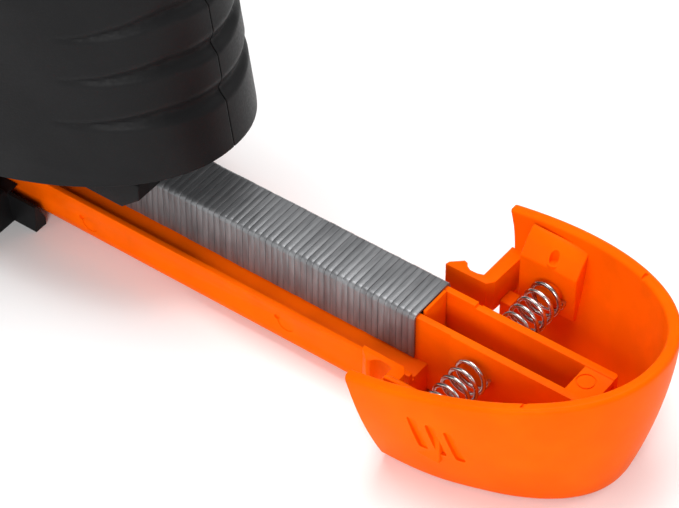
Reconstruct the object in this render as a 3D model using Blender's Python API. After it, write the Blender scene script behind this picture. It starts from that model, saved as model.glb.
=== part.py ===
"""Cordless staple gun with its magazine drawn out.

Metres, +Z up, +X towards the rear. The origin is the middle of the nose plate's lower face.
The centre plane is y = 0 and the base stands on z = 0. All dimensions below are in millimetres and
every shape is built from them. They count x from a datum that lies NOSE_X ahead of the origin.
"""

import math

import bmesh
import bpy

for old in list(bpy.data.objects):
    bpy.data.objects.remove(old, do_unlink=True)

MM = 0.001

# ---------------------------------------------------------------- staples
STAPLE_PITCH = 1.25
STAPLE_COUNT = 84
CROWN_WIDTH = 10.6
LEG_LENGTH = 10.0
WIRE = 0.5
CROWN_Z = 19.0

# ---------------------------------------------------------------- magazine
DRAWN_OUT = 86.3
STRIP_END_X = 204.0
TRAY_HALF = 10.0
TRAY_FRONT = 92.3
TRAY_BOTTOM = 1.0
TRAY_TOP = 10.0
LEDGE_Z = 8.6
LEDGE_Y = 8.7
RAIL_OUT = 4.6
RAIL_IN = 3.4
RAIL_END = 238.0
RAIL_FLOOR = 2.9
BRIDGE_START = 229.0
PUSH_TRAVEL = 6.5

# ---------------------------------------------------------------- end cap and the butt above it
CAP_A = 44.8
CAP_B = 25.3
CAP_POWER = 2.15
CAP_WALL = 2.3
CAP_INSET = 6.0
CAP_CURVE = 1.7
RIM_Z = 21.8
RIM_SLOPE = 0.2
EDGE_SLANT = 4.1
HINGE_ANGLE = 53.0
HINGE_GAP = 0.4
FLOOR_HALF = 12.8
LATCH_Y = 11.9
LATCH_THICK = 1.0
LATCH_TIP = 198.6
LATCH_LOW = 7.6
LATCH_TOP = 14.5
HOOK_OUT = 14.3
HOOK_LENGTH = 3.4
WEB_X = 205.4
PAD_Y = 18.0
PAD_X0 = 209.5
PAD_X1 = 221.0
PAD_TOP = 18.8
LATCH_SPRING_R = 3.0
LATCH_SPRING_WIRE = 0.38
LATCH_SPRING_X = 216.3
LATCH_SPRING_Z = 13.2

# ---------------------------------------------------------------- body
BODY_FRONT = 2.3
NOSE_X = 1.1
NOSE_THICK = 1.8
GRIP_HALF = 19.0
COLUMN_A = 25.0
BASE_TOP = 62.0
SHOULDER_TOP = 76.0
DOME_Z = 150.0
TOP_Z = 166.0
DOME_R = 15.0
LEAN = 0.157
TOP_SLOPE = 0.10
SLOPE_X = 80.0
BUTT_X = STRIP_END_X - DRAWN_OUT
SKIN = 2.5
CLEAR = 0.3
OPEN_X0 = 58.0
OPEN_X1 = 127.0
OPEN_Z0 = 78.0
OPEN_Z1 = 130.0
OPEN_R = 16.0
FLARE = 6.0
GUIDE_HALF = 12.0
GUIDE_LOW = 16.9
GUIDE_TOP = 24.0
GUIDE_END = 150.5
GUIDE_FRONT = 6.0
STUB_END = 126.5
STUB_HALF = 13.0
STUB_TOP = 6.0

# ---------------------------------------------------------------- drive
DRIVE_Z = 50.0
CAM_R0 = 3.4
STROKE = 16.0
CAM_TURN = 300.0
CAM_X0 = 18.0
CAM_X1 = 24.0
ROLLER_R = 2.7
ROLLER_GAP = 0.6
SHAFT_R = 2.8
GEARBOX_R = 15.0
GEARBOX_X0 = 31.0
GEARBOX_X1 = 50.0
MOTOR_R = 14.0
MOTOR_X1 = 86.0
PLUNGER_X0 = 4.9
PLUNGER_X1 = 15.2
PLUNGER_HALF = 9.0
PLUNGER_LOW = 52.0
PLUNGER_TOP = 84.0
SPRING_X = 10.3
DRIVE_SPRING_R = 4.3
DRIVE_SPRING_WIRE = 0.7
ROD_R = 3.2
SEAT_Z = 142.0
FRAME_HALF = 10.6
FRAME_TOP = 150.0
FRAME_LOW = 42.0
BLADE_X0 = 3.3
BLADE_THICK = 1.2
BLADE_TOP = 66.0
CELL_R = 9.0
CELL_LENGTH = 50.0
CELL_X = 88.0

# ---------------------------------------------------------------- controls and fasteners
TRIGGER_X = 63.0
TRIGGER_Z = 141.0
TRIGGER_HALF = 6.0
DIAL_R = 8.0
DIAL_X = 32.0
LOCK_X = 66.0
LOCK_Z = 143.0
LOCK_TRAVEL = 5.0
SOCKET_Z = 116.0
LENS_Z = 86.0
SCREW_R = 1.3
SCREW_HEAD_R = 2.8
BOSS_R = 3.6
SCREWS = {
    "housing_screw_1": (60.0, 30.2),
    "housing_screw_2": (46.0, 96.0),
    "housing_screw_3": (50.0, 144.0),
    "housing_screw_4": (144.0, 43.0),
    "housing_screw_5": (139.0, 104.0),
    "housing_screw_6": (112.0, 142.0),
}


# ---------------------------------------------------------------- small tools
def material(name, colour, roughness, metallic=0.0):
    made = bpy.data.materials.new(name)
    made.use_nodes = True
    shader = made.node_tree.nodes["Principled BSDF"]
    shader.inputs["Base Color"].default_value = (*colour, 1.0)
    shader.inputs["Roughness"].default_value = roughness
    shader.inputs["Metallic"].default_value = metallic
    return made


def mesh_object(name, points, faces):
    mesh = bpy.data.meshes.new(name)
    mesh.from_pydata([((x - NOSE_X) * MM, y * MM, z * MM) for x, y, z in points], [], faces)
    work = bmesh.new()
    work.from_mesh(mesh)
    bmesh.ops.remove_doubles(work, verts=work.verts, dist=1e-7)
    bmesh.ops.recalc_face_normals(work, faces=work.faces)
    work.to_mesh(mesh)
    work.free()
    obj = bpy.data.objects.new(name, mesh)
    bpy.context.scene.collection.objects.link(obj)
    return obj


def loft(name, rings):
    """A closed solid through equal closed rings of points, with a face on each end."""
    count = len(rings[0])
    points = [p for ring in rings for p in ring]
    faces = []
    for k in range(len(rings) - 1):
        for i in range(count):
            j = (i + 1) % count
            faces.append((k * count + i, k * count + j, (k + 1) * count + j, (k + 1) * count + i))
    faces.append(tuple(range(count)))
    last = (len(rings) - 1) * count
    faces.append(tuple(last + i for i in range(count)))
    return mesh_object(name, points, faces)


def along(axis, u, v, w):
    """A point from two in-plane coordinates and one along the axis, keeping x, y, z order in the plane."""
    if axis == "x":
        return (w, u, v)
    if axis == "y":
        return (u, w, v)
    return (u, v, w)


def prism(name, outline, axis, low, high):
    return loft(name, [[along(axis, u, v, w) for u, v in outline] for w in (low, high)])


def box(name, x, y, z):
    return prism(name, [(x[0], y[0]), (x[1], y[0]), (x[1], y[1]), (x[0], y[1])], "z", z[0], z[1])


def circle(cu, cv, r, steps):
    return [
        (cu + r * math.cos(2 * math.pi * i / steps), cv + r * math.sin(2 * math.pi * i / steps))
        for i in range(steps)
    ]


def cylinder(name, axis, cu, cv, r, low, high, steps=24):
    return prism(name, circle(cu, cv, r, steps), axis, low, high)


def turned(name, axis, cu, cv, profile, steps=24):
    """A solid of revolution from (radius, position) pairs, each radius above zero."""
    return loft(name, [[along(axis, u, v, w) for u, v in circle(cu, cv, r, steps)] for r, w in profile])


def rounded(x0, x1, z0, z1, r, grow=0.0, steps=5):
    """A rounded rectangle; grow moves it outward and keeps the corners round."""
    points = []
    radius = r + grow
    centres = [(x1 - r, z1 - r, 0), (x0 + r, z1 - r, 90), (x0 + r, z0 + r, 180), (x1 - r, z0 + r, 270)]
    for cx, cz, start in centres:
        for i in range(steps + 1):
            a = math.radians(start + 90 * i / steps)
            points.append((cx + radius * math.cos(a), cz + radius * math.sin(a)))
    return points


def coil(name, axis, cu, cv, r, wire, low, high, turns, per_turn=10, sides=5):
    """A closed helical wire; its ends lie wire inside low and high."""
    rings = []
    total = int(turns * per_turn)
    for k in range(total + 1):
        a = 2 * math.pi * k / per_turn
        w = low + wire + (high - low - 2 * wire) * k / total
        ring = []
        for s in range(sides):
            b = 2 * math.pi * s / sides
            rr = r + wire * math.cos(b)
            ring.append(along(axis, cu + rr * math.cos(a), cv + rr * math.sin(a), w + wire * math.sin(b)))
        rings.append(ring)
    return loft(name, rings)


def apply_modifiers(obj):
    graph = bpy.context.evaluated_depsgraph_get()
    mesh = bpy.data.meshes.new_from_object(obj.evaluated_get(graph))
    obj.modifiers.clear()
    old_mesh = obj.data
    obj.data = mesh
    bpy.data.meshes.remove(old_mesh)


def combine(obj, other, operation, keep=False):
    step = obj.modifiers.new("combine", "BOOLEAN")
    step.operation = operation
    step.solver = "EXACT"
    step.object = other
    apply_modifiers(obj)
    if not keep:
        bpy.data.objects.remove(other, do_unlink=True)
    return obj


def cut(obj, other, keep=False):
    return combine(obj, other, "DIFFERENCE", keep)


def join(obj, other, keep=False):
    return combine(obj, other, "UNION", keep)


def common(obj, other, keep=False):
    return combine(obj, other, "INTERSECT", keep)


def copy_of(obj, name):
    twin = obj.copy()
    twin.data = obj.data.copy()
    twin.name = name
    bpy.context.scene.collection.objects.link(twin)
    return twin


def finish(obj, name, look, smooth=False):
    obj.name = name
    obj.data.name = name
    obj.data.materials.clear()
    obj.data.materials.append(look)
    for face in obj.data.polygons:
        face.use_smooth = smooth
    return obj


def eased(value, low, high):
    t = min(1.0, max(0.0, (value - low) / (high - low)))
    return t * t * (3 - 2 * t)


# ---------------------------------------------------------------- materials, one per sub-part
BLACK = (0.028, 0.028, 0.03)
ORANGE = (0.9, 0.13, 0.0)
STEEL = (0.55, 0.55, 0.56)


def look_of(name):
    kinds = {
        "black": (BLACK, 0.5, 0.0),
        "orange": (ORANGE, 0.38, 0.0),
        "steel": (STEEL, 0.32, 1.0),
        "dark": ((0.2, 0.2, 0.21), 0.4, 1.0),
        "rubber": ((0.012, 0.012, 0.012), 0.85, 0.0),
        "grey": ((0.25, 0.26, 0.27), 0.5, 0.0),
        "green": ((0.02, 0.18, 0.06), 0.5, 0.0),
        "blue": ((0.03, 0.12, 0.4), 0.4, 0.0),
        "clear": ((0.85, 0.9, 0.95), 0.1, 0.0),
    }
    return kinds[name]


def dressed(obj, name, kind, smooth=False):
    colour, roughness, metallic = look_of(kind)
    return finish(obj, name, material(name + "_look", colour, roughness, metallic), smooth)


# ---------------------------------------------------------------- body sections
def rim_height(x):
    """Height of the sloping joint between butt and cap, for the closed cap."""
    return RIM_Z + RIM_SLOPE * (x - BUTT_X)


def body_half(z):
    return CAP_B + (GRIP_HALF - CAP_B) * eased(z, BASE_TOP, SHOULDER_TOP)


def dome_inset(z, top):
    if z <= DOME_Z:
        return 0.0
    t = min(0.97, (z - DOME_Z) / (top - DOME_Z))
    return DOME_R * (1 - math.sqrt(1 - t * t))


def body_ring(z, inset, lower_inset=0.0, steps=30):
    top = TOP_Z - inset
    drop = dome_inset(z, top) + inset + lower_inset
    half = body_half(z) - drop
    rear = BUTT_X + CAP_A - LEAN * max(0.0, z - rim_height(BUTT_X + CAP_A)) - drop
    front = BODY_FRONT + drop
    semi = CAP_A + (COLUMN_A - CAP_A) * eased(z, BASE_TOP, SHOULDER_TOP) - drop
    middle = rear - semi
    points = []
    for i in range(steps):
        a = 2 * math.pi * i / steps - math.pi / 2
        c, s = math.cos(a), math.sin(a)
        if c >= -1e-9:
            power = 2 / CAP_POWER
            x = middle + semi * abs(c) ** power
        else:
            power = 2 / 5.0
            x = middle - (middle - front) * abs(c) ** power
        y = half * math.copysign(abs(s) ** power, s)
        lift = TOP_SLOPE * (SLOPE_X - x) * eased(z, SHOULDER_TOP, DOME_Z)
        points.append((x, y, z + lift))
    return points


def body_solid(name, inset):
    levels = [inset, inset + 2.5, 12.0, 30.0, 46.0, BASE_TOP]
    levels += [BASE_TOP + (SHOULDER_TOP - BASE_TOP) * t for t in (0.25, 0.5, 0.75, 1.0)]
    levels += [100.0, 125.0, DOME_Z]
    levels += [DOME_Z + (TOP_Z - inset - DOME_Z) * t for t in (0.35, 0.6, 0.8, 0.93, 1.0)]
    return loft(name, [body_ring(z, inset, 1.8 if k == 0 else 0.0) for k, z in enumerate(levels)])


def local_half(x, z):
    """Half the body's width at x and height z."""
    rear = BUTT_X + CAP_A - LEAN * max(0.0, z - rim_height(BUTT_X + CAP_A))
    semi = CAP_A + (COLUMN_A - CAP_A) * eased(z, BASE_TOP, SHOULDER_TOP)
    t = max(0.0, x - (rear - semi)) / semi
    return body_half(z) * (1 - t**CAP_POWER) ** (1 / CAP_POWER)


def opening_solid(name, grow):
    """The finger opening with rounded-over edges; grow gives the wall around it."""
    rings = []
    reach = GRIP_HALF - 1.0
    rings.append((-40.0, 1.0))
    rings.append((-reach, 1.0))
    for t in (0.25, 0.5, 0.75, 1.0):
        rings.append((-reach + FLARE * t, (1 - math.sqrt(1 - (1 - t) ** 2))))
    mirrored = [(-y, share) for y, share in reversed(rings)]
    out = []
    for y, share in rings + mirrored:
        outline = rounded(OPEN_X0, OPEN_X1, OPEN_Z0, OPEN_Z1, OPEN_R, FLARE * share * 0.8 + grow)
        ring = []
        for x, z in outline:
            lift = TOP_SLOPE * (SLOPE_X - x) * eased(z, OPEN_Z0, OPEN_Z1)
            ring.append((x, y, z + lift))
        out.append(ring)
    return loft(name, out)


def cap_zone(name, gap):
    """All that lies behind and under the butt joint, where the closed cap goes."""
    far = BUTT_X + CAP_A + 30
    outline = [
        (BUTT_X - gap, rim_height(BUTT_X) + gap),
        (BUTT_X + EDGE_SLANT - gap, -1.0),
        (BUTT_X + EDGE_SLANT - gap, -10.0),
        (far, -10.0),
        (far, rim_height(far) + gap),
    ]
    return prism(name, outline, "y", -40.0, 40.0)


# ---------------------------------------------------------------- housing
def housing_halves():
    shell = body_solid("shell", 0.0)
    cavity = body_solid("cavity", SKIN)
    cut(cavity, opening_solid("opening_wall", SKIN))
    cut(cavity, cap_zone("cap_wall", SKIN + CLEAR))
    wall_half = GUIDE_HALF + 2.2
    wall_x = (-5.0, GUIDE_END + 3.0)
    cut(cavity, box("channel_wall", wall_x, (-wall_half, wall_half), (-5.0, GUIDE_TOP + 2.4)))
    for sx, sz in SCREWS.values():
        cut(cavity, cylinder("boss", "y", sx, sz, BOSS_R, -40.0, 40.0, 16))
    for side in (-1, 1):
        cut(cavity, cylinder("nose_boss", "x", side * 10.2, 33.0, 3.4, -5.0, 12.5, 12))
    cut(shell, opening_solid("opening", 0.0))
    cut(shell, cavity)
    zone = cap_zone("zone", CLEAR)
    cut(zone, box("stub", (0.0, STUB_END), (-STUB_HALF, STUB_HALF), (-1.0, STUB_TOP)))
    cut(shell, zone)
    # the magazine runs in a channel that is open at the bottom and at both ends
    tray_half = TRAY_HALF + CLEAR
    tray_slot = box("tray_slot", (GUIDE_FRONT - 1.0, 240.0), (-tray_half, tray_half), (-5.0, GUIDE_LOW))
    guide_half = GUIDE_HALF + CLEAR
    guide_x = (GUIDE_FRONT - CLEAR, GUIDE_END + CLEAR)
    guide_z = (GUIDE_LOW - CLEAR, GUIDE_TOP + CLEAR)
    join(tray_slot, box("guide_slot", guide_x, (-guide_half, guide_half), guide_z))
    blade_half = CROWN_WIDTH / 2 + 0.9
    join(tray_slot, box("blade_slot", (-5.0, GUIDE_FRONT + 1.0), (-blade_half, blade_half), (-5.0, 60.0)))
    cut(shell, tray_slot)
    cut(shell, box("blade_pocket", (3.0, 8.0), (-blade_half, blade_half), (50.0, BLADE_TOP + STROKE + 1.0)))
    frame_half = FRAME_HALF + 0.4
    frame_z = (FRAME_LOW - CLEAR, FRAME_TOP + CLEAR)
    cut(shell, box("frame_pocket", (PLUNGER_X0 - 0.2, 20.0), (-frame_half, frame_half), frame_z))
    # pockets for the latch hooks, with a catch edge each side
    for side in (-1, 1):
        inner, outer, catch = side * TRAY_HALF, side * (HOOK_OUT + 2.4), side * (HOOK_OUT - 0.9)
        catch_x = LATCH_TIP + HOOK_LENGTH - DRAWN_OUT + 0.15
        height = (LATCH_LOW - 1.2, LATCH_TOP + 1.4)
        cut(shell, box("pocket", (LATCH_TIP - DRAWN_OUT - 2.0, catch_x), sorted((inner, outer)), height))
        web_y = sorted((inner, side * (CAP_B - CAP_WALL - 1.0 + CLEAR)))
        web_x = (WEB_X - DRAWN_OUT - 2 * CLEAR, BUTT_X + EDGE_SLANT + 4.0)
        cut(shell, box("web_slot", web_x, web_y, (LATCH_LOW - 2 * CLEAR, LATCH_TOP + 2 * CLEAR)))
        cut(shell, box("throat", (catch_x - 0.5, STUB_END + 8), sorted((inner, catch)), height))
    # openings for the controls
    trigger_half = TRIGGER_HALF + 0.5
    slot_x = (TRIGGER_X - 4.8, TRIGGER_X + 32.0)
    cut(shell, box("trigger_slot", slot_x, (-trigger_half, trigger_half), (118.0, TRIGGER_Z - 1.0)))
    cut(shell, cylinder("dial_hole", "z", DIAL_X, 0.0, DIAL_R + 0.5, 150.0, 200.0, 28))
    lock_x = (LOCK_X - 3.5, LOCK_X + 3.5 + LOCK_TRAVEL)
    cut(shell, box("lock_slot", lock_x, (-40.0, -8.0), (LOCK_Z - 2.3, LOCK_Z + 2.3)))
    cut(shell, cylinder("socket_hole", "x", 0.0, SOCKET_Z, 4.8, 140.0, 170.0, 20))
    cut(shell, box("lens_hole", (-5.0, 9.0), (-4.3, 4.3), (LENS_Z - 0.3, LENS_Z + 6.3)))
    for side in (-1, 1):
        cut(shell, cylinder("nose_hole", "x", side * 10.2, 33.0, 1.7, -5.0, 11.0, 12))
    # the cover sits in a recess over the grip
    cut(shell, cover_solid("recess", CLEAR))
    for sx, sz in SCREWS.values():
        head_y = local_half(sx, sz) - 3.4
        cut(shell, cylinder("screw_bore", "y", sx, sz, SCREW_R + CLEAR, -12.5, 40.0, 12))
        cut(shell, cylinder("head_bore", "y", sx, sz, SCREW_HEAD_R + CLEAR, head_y - CLEAR, 40.0, 16))
    right = copy_of(shell, "right")
    cut(shell, box("keep_left", (-50.0, 260.0), (-CLEAR / 2, 80.0), (-50.0, 260.0)))
    cut(right, box("keep_right", (-50.0, 260.0), (-80.0, CLEAR / 2), (-50.0, 260.0)))
    dressed(shell, "left_housing", "black", True)
    dressed(right, "right_housing", "black", True)


def cover_solid(name, gap):
    """A rubber saddle over the grip; gap makes the recess it sits in."""
    outer = body_solid(name, -0.05 if gap else 0.0)
    inner = body_solid(name + "_inner", 1.4 + gap)
    cut(outer, inner)
    low = 146.0 - gap
    outline = [(68.0 - gap, low), (124.0 + gap, low), (124.0 + gap, 190.0), (68.0 - gap, 190.0)]
    common(outer, prism(name + "_span", outline, "y", -40.0, 40.0))
    return outer


# ---------------------------------------------------------------- magazine
def magazine():
    corner = 3.0
    side = []
    for a in (0, 30, 60, 90):
        turn = math.radians(a)
        across = TRAY_HALF - corner + corner * math.sin(turn)
        side.append((across, TRAY_BOTTOM + corner - corner * math.cos(turn)))
    side += [(TRAY_HALF, TRAY_TOP), (LEDGE_Y + 0.3, TRAY_TOP), (LEDGE_Y, LEDGE_Z)]
    rail_top = CROWN_Z - WIRE - 0.2
    side += [(RAIL_OUT, LEDGE_Z), (RAIL_OUT, rail_top), (RAIL_IN, rail_top), (RAIL_IN, RAIL_FLOOR)]
    profile = side + [(-y, z) for y, z in reversed(side)]
    tray = prism("tray", profile, "x", TRAY_FRONT, WEB_X - 1.2)
    rail = [(RAIL_OUT, RAIL_FLOOR - 0.4), (RAIL_OUT, rail_top)]
    rail += [(RAIL_IN, rail_top), (RAIL_IN, RAIL_FLOOR + 1.2)]
    rail = rail + [(-y, z) for y, z in reversed(rail)]
    back = prism("rail_back", rail, "x", WEB_X - 4.0, RAIL_END)
    bridge_half = RAIL_OUT - 0.4
    bridge_z = (rail_top - 1.6, rail_top - 0.01)
    join(back, box("bridge", (BRIDGE_START, RAIL_END), (-bridge_half, bridge_half), bridge_z))
    join(tray, back)
    dressed(tray, "magazine_tray", "orange")

    def wall_section(theta, end_slant):
        c, s = math.cos(theta), math.sin(theta)
        px, py = abs(c) ** (2 / CAP_POWER), math.copysign(abs(s) ** (2 / CAP_POWER), s)
        points = []
        levels = (0.0, 0.06, 0.18, 0.4, 0.7, 1.0)
        for wall, order in ((0.0, levels), (CAP_WALL, tuple(reversed(levels)))):
            rim = RIM_Z + RIM_SLOPE * (CAP_A - wall) * px
            for t in order:
                inset = CAP_INSET * (1 - t) ** CAP_CURVE + wall
                if t == 0.0:
                    inset += 1.2 if wall == 0.0 else 0.0
                x = STRIP_END_X + (CAP_A - inset) * px + end_slant * (1 - t)
                points.append((x, (CAP_B - inset) * py, rim * t + 0.2 * (1 - t)))
        return points

    def wall(name, low, high, steps):
        rings = []
        for i in range(steps + 1):
            theta = math.radians(low + (high - low) * i / steps)
            rings.append(wall_section(theta, EDGE_SLANT * eased(abs(math.degrees(theta)), 55.0, 90.0)))
        return loft(name, rings)

    half_gap = math.degrees(HINGE_GAP / 2 / 35.0)
    bow = wall("bow", -HINGE_ANGLE + half_gap, HINGE_ANGLE - half_gap, 20)
    floor_a, floor_b = CAP_A - CAP_INSET - 1.0, CAP_B - CAP_INSET - 1.0
    hinge = math.radians(HINGE_ANGLE - 4)
    front, reach = STRIP_END_X + 3.4, STRIP_END_X + floor_a * math.cos(hinge)
    step_x, tongue = STUB_END + DRAWN_OUT + 2 * CLEAR, TRAY_HALF - 0.1
    outline = [(front, -tongue), (step_x, -tongue), (step_x, -FLOOR_HALF), (reach, -FLOOR_HALF)]
    for i in range(15):
        a = -hinge + 2 * hinge * i / 14
        outline.append((STRIP_END_X + floor_a * math.cos(a), floor_b * math.sin(a)))
    outline += [(reach, FLOOR_HALF), (step_x, FLOOR_HALF), (step_x, tongue), (front, tongue)]
    join(bow, prism("floor", outline, "z", 0.5, 2.2))
    dressed(bow, "magazine_cap", "orange", True)

    for name, side in (("left", -1), ("right", 1)):
        flap = wall("flap", side * 90.0, side * (HINGE_ANGLE + half_gap), 8)
        y0, y1 = side * LATCH_Y, side * (LATCH_Y + LATCH_THICK)
        arm = box("arm", (LATCH_TIP, WEB_X + 3.6), sorted((y0, y1)), (LATCH_LOW, LATCH_TOP))
        root, hook_x = side * (LATCH_Y + 0.4), LATCH_TIP + HOOK_LENGTH
        hook = [(LATCH_TIP + 0.01, root), (LATCH_TIP + 0.01, side * (LATCH_Y + 1.3))]
        hook += [(LATCH_TIP + 1.6, side * HOOK_OUT), (hook_x, side * HOOK_OUT), (hook_x, root)]
        join(arm, prism("hook", hook, "z", LATCH_LOW + 0.01, LATCH_TOP - 0.01))
        web_y = sorted((side * (LATCH_Y + 0.5), side * (CAP_B - CAP_WALL - 1.0)))
        join(arm, box("web", (WEB_X, WEB_X + 1.3), web_y, (LATCH_LOW + 0.02, LATCH_TOP - 0.02)))
        join(flap, arm)
        pad_y = sorted((side * PAD_Y, side * (CAP_B - CAP_WALL - 1.2)))
        join(flap, box("pad", (PAD_X0, PAD_X1), pad_y, (LATCH_SPRING_Z - LATCH_SPRING_R - 1.5, PAD_TOP)))
        dressed(flap, name + "_latch", "orange", True)
        ends = sorted((side * (RAIL_OUT + CLEAR), side * (PAD_Y - CLEAR)))
        wire = LATCH_SPRING_WIRE
        spring = coil("spring", "y", LATCH_SPRING_X, LATCH_SPRING_Z, LATCH_SPRING_R, wire, *ends, 6, 9, 4)
        dressed(spring, name + "_latch_spring", "steel", True)

    # the glued strip is one saddle of the wire's thickness
    half = CROWN_WIDTH / 2
    leg_end = CROWN_Z - LEG_LENGTH
    outside = [(-half, leg_end), (-half, CROWN_Z - 0.8), (-half + 0.8, CROWN_Z)]
    inside = [(-half + WIRE, leg_end), (-half + WIRE, CROWN_Z - 0.9), (-half + 0.9, CROWN_Z - WIRE)]
    saddle = outside + [(-y, z) for y, z in reversed(outside)]
    saddle += [(-y, z) for y, z in inside] + list(reversed(inside))
    length = STAPLE_COUNT * STAPLE_PITCH
    dressed(prism("strip", saddle, "x", STRIP_END_X - length, STRIP_END_X), "staple_strip", "steel")

    sled_half = RAIL_IN - CLEAR
    sled_x = (STRIP_END_X - 14.0, STRIP_END_X + 0.9)
    sled = box("sled", sled_x, (-sled_half, sled_half), (RAIL_FLOOR + 1.6, RAIL_FLOOR + 8.0))
    tab_x, tab_z = (STRIP_END_X + 0.2, STRIP_END_X + 0.8), (RAIL_FLOOR + 6.0, CROWN_Z - 0.15)
    tab = box("tab", tab_x, (-sled_half + 0.1, sled_half - 0.1), tab_z)
    dressed(join(sled, tab), "pusher", "dark")
    ends = (STRIP_END_X + 1.2, BRIDGE_START - CLEAR)
    push = coil("push", "x", 0.0, RAIL_FLOOR + 4.6, 2.2, 0.35, *ends, 8, 7, 3)
    dressed(push, "pusher_spring", "dark", True)


# ---------------------------------------------------------------- nose, guide and drive
def nose_and_guide():
    outline = [(GUIDE_FRONT, GUIDE_LOW), (GUIDE_END - 4.0, GUIDE_LOW), (GUIDE_END, GUIDE_LOW + 3.6)]
    outline += [(GUIDE_END, GUIDE_TOP), (GUIDE_FRONT, GUIDE_TOP)]
    guide = prism("guide", outline, "y", -GUIDE_HALF, GUIDE_HALF)
    slot = CROWN_WIDTH / 2 + 0.6
    cut(guide, box("guide_cut", (-5.0, 200.0), (-slot, slot), (-5.0, CROWN_Z + 0.9)))
    dressed(guide, "staple_guide", "black")

    plate_x = (NOSE_X - NOSE_THICK / 2, NOSE_X + NOSE_THICK / 2)
    plate = box("plate", plate_x, (-13.5, 13.5), (0.0, 60.0))
    step = plate.modifiers.new("corner", "BEVEL")
    step.width = 0.3 * MM
    step.segments = 1
    apply_modifiers(plate)
    for side in (-1, 1):
        cut(plate, cylinder("hole", "x", side * 10.2, 33.0, 1.7, -5.0, 5.0, 16))
        profile = [(1.9, -1.5), (2.7, -1.1), (2.7, 0.0), (1.35, 0.0), (1.35, 10.0)]
        head = turned("head", "x", side * 10.2, 33.0, profile, 16)
        dressed(head, "nose_screw_left" if side < 0 else "nose_screw_right", "dark", True)
    dressed(plate, "nose_plate", "steel")

    half = CROWN_WIDTH / 2
    blade = box("blade", (BLADE_X0, BLADE_X0 + BLADE_THICK), (-half, half), (1.5, BLADE_TOP))
    dressed(blade, "driver_blade", "steel")

    block = box("block", (PLUNGER_X0, PLUNGER_X1), (-PLUNGER_HALF, PLUNGER_HALF), (PLUNGER_LOW, PLUNGER_TOP))
    rod_z = (PLUNGER_TOP - STROKE - 6, PLUNGER_TOP + 5)
    cut(block, cylinder("rod_bore", "z", SPRING_X, 0.0, ROD_R + 0.4, *rod_z, 20))
    roller_z = DRIVE_Z + CAM_R0 + ROLLER_R + ROLLER_GAP
    join(block, cylinder("pin", "x", 0.0, roller_z, 1.6, PLUNGER_X1 - 1.0, CAM_X1 + 1.5, 12))
    dressed(block, "plunger", "dark")
    ring = cylinder("ring", "x", 0.0, roller_z, ROLLER_R, CAM_X0, CAM_X1, 20)
    cut(ring, cylinder("ring_bore", "x", 0.0, roller_z, 1.65, CAM_X0 - 5, CAM_X1 + 5, 12))
    dressed(ring, "cam_roller", "steel", True)

    # a spiral cam: its radius grows evenly over CAM_TURN, then drops back
    outline = []
    steps = 48
    for i in range(steps + 1):
        a = CAM_TURN * i / steps
        r = CAM_R0 + STROKE * i / steps
        t = math.radians(90.0 + a)
        outline.append((r * math.cos(t), DRIVE_Z + r * math.sin(t)))
    for i in range(1, 6):
        a = CAM_TURN + (360 - CAM_TURN) * i / 6
        t = math.radians(90.0 + a)
        r = CAM_R0 + STROKE * (1 - eased(i, 0, 4)) * 0.97
        outline.append((r * math.cos(t), DRIVE_Z + r * math.sin(t)))
    cam = prism("cam", outline, "x", CAM_X0, CAM_X1)
    join(cam, cylinder("shaft", "x", 0.0, DRIVE_Z, SHAFT_R, CAM_X1 - 1.0, GEARBOX_X0 + 4.0, 20))
    dressed(cam, "drive_cam", "dark")

    profile = [(8.0, GEARBOX_X0 - 2.0), (8.0, GEARBOX_X0), (GEARBOX_R - 1.0, GEARBOX_X0)]
    profile += [(GEARBOX_R, GEARBOX_X0 + 1.0), (GEARBOX_R, GEARBOX_X1)]
    gearbox = turned("gearbox", "x", 0.0, DRIVE_Z, profile, 28)
    bore = (GEARBOX_X0 - 5.0, GEARBOX_X0 + 5.0)
    cut(gearbox, cylinder("shaft_bore", "x", 0.0, DRIVE_Z, SHAFT_R + 0.06, *bore, 20))
    dressed(gearbox, "gearbox", "grey", True)
    profile = [(MOTOR_R, GEARBOX_X1 + CLEAR), (MOTOR_R, MOTOR_X1 - 3.0), (MOTOR_R - 1.0, MOTOR_X1 - 2.0)]
    profile += [(4.0, MOTOR_X1 - 2.0), (4.0, MOTOR_X1)]
    motor = turned("motor", "x", 0.0, DRIVE_Z, profile, 28)
    dressed(motor, "motor", "steel", True)

    frame = box("frame", (PLUNGER_X0 + 0.1, 16.6), (-FRAME_HALF, FRAME_HALF), (FRAME_LOW, FRAME_TOP))
    inner = PLUNGER_HALF + CLEAR
    cut(frame, box("frame_cut", (-5.0, 40.0), (-inner, inner), (FRAME_LOW + 1.3, FRAME_TOP - 1.3)))
    dressed(frame, "drive_frame", "steel")
    bumper_z = (FRAME_LOW + 1.6, PLUNGER_LOW - CLEAR)
    bumper = box("bumper", (PLUNGER_X0 + 0.3, PLUNGER_X1), (-PLUNGER_HALF, PLUNGER_HALF), bumper_z)
    dressed(bumper, "bumper", "rubber")
    profile = [(ROD_R - 0.6, PLUNGER_TOP + 3.0), (ROD_R, PLUNGER_TOP + 4.0), (ROD_R, SEAT_Z), (8.2, SEAT_Z)]
    profile += [(8.2, SEAT_Z + 1.0), (4.9, SEAT_Z + 1.0), (4.9, FRAME_TOP - 1.6)]
    rod = turned("rod", "z", SPRING_X, 0.0, profile, 20)
    common(rod, box("rod_span", (PLUNGER_X0 + 0.3, 15.9), (-8.6, 8.6), (0.0, 200.0)))
    dressed(rod, "spring_rod", "steel", True)
    ends = (PLUNGER_TOP + CLEAR, SEAT_Z - CLEAR)
    spring = coil("drive", "z", SPRING_X, 0.0, DRIVE_SPRING_R, DRIVE_SPRING_WIRE, *ends, 9, 9, 4)
    dressed(spring, "drive_spring", "dark", True)


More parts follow.
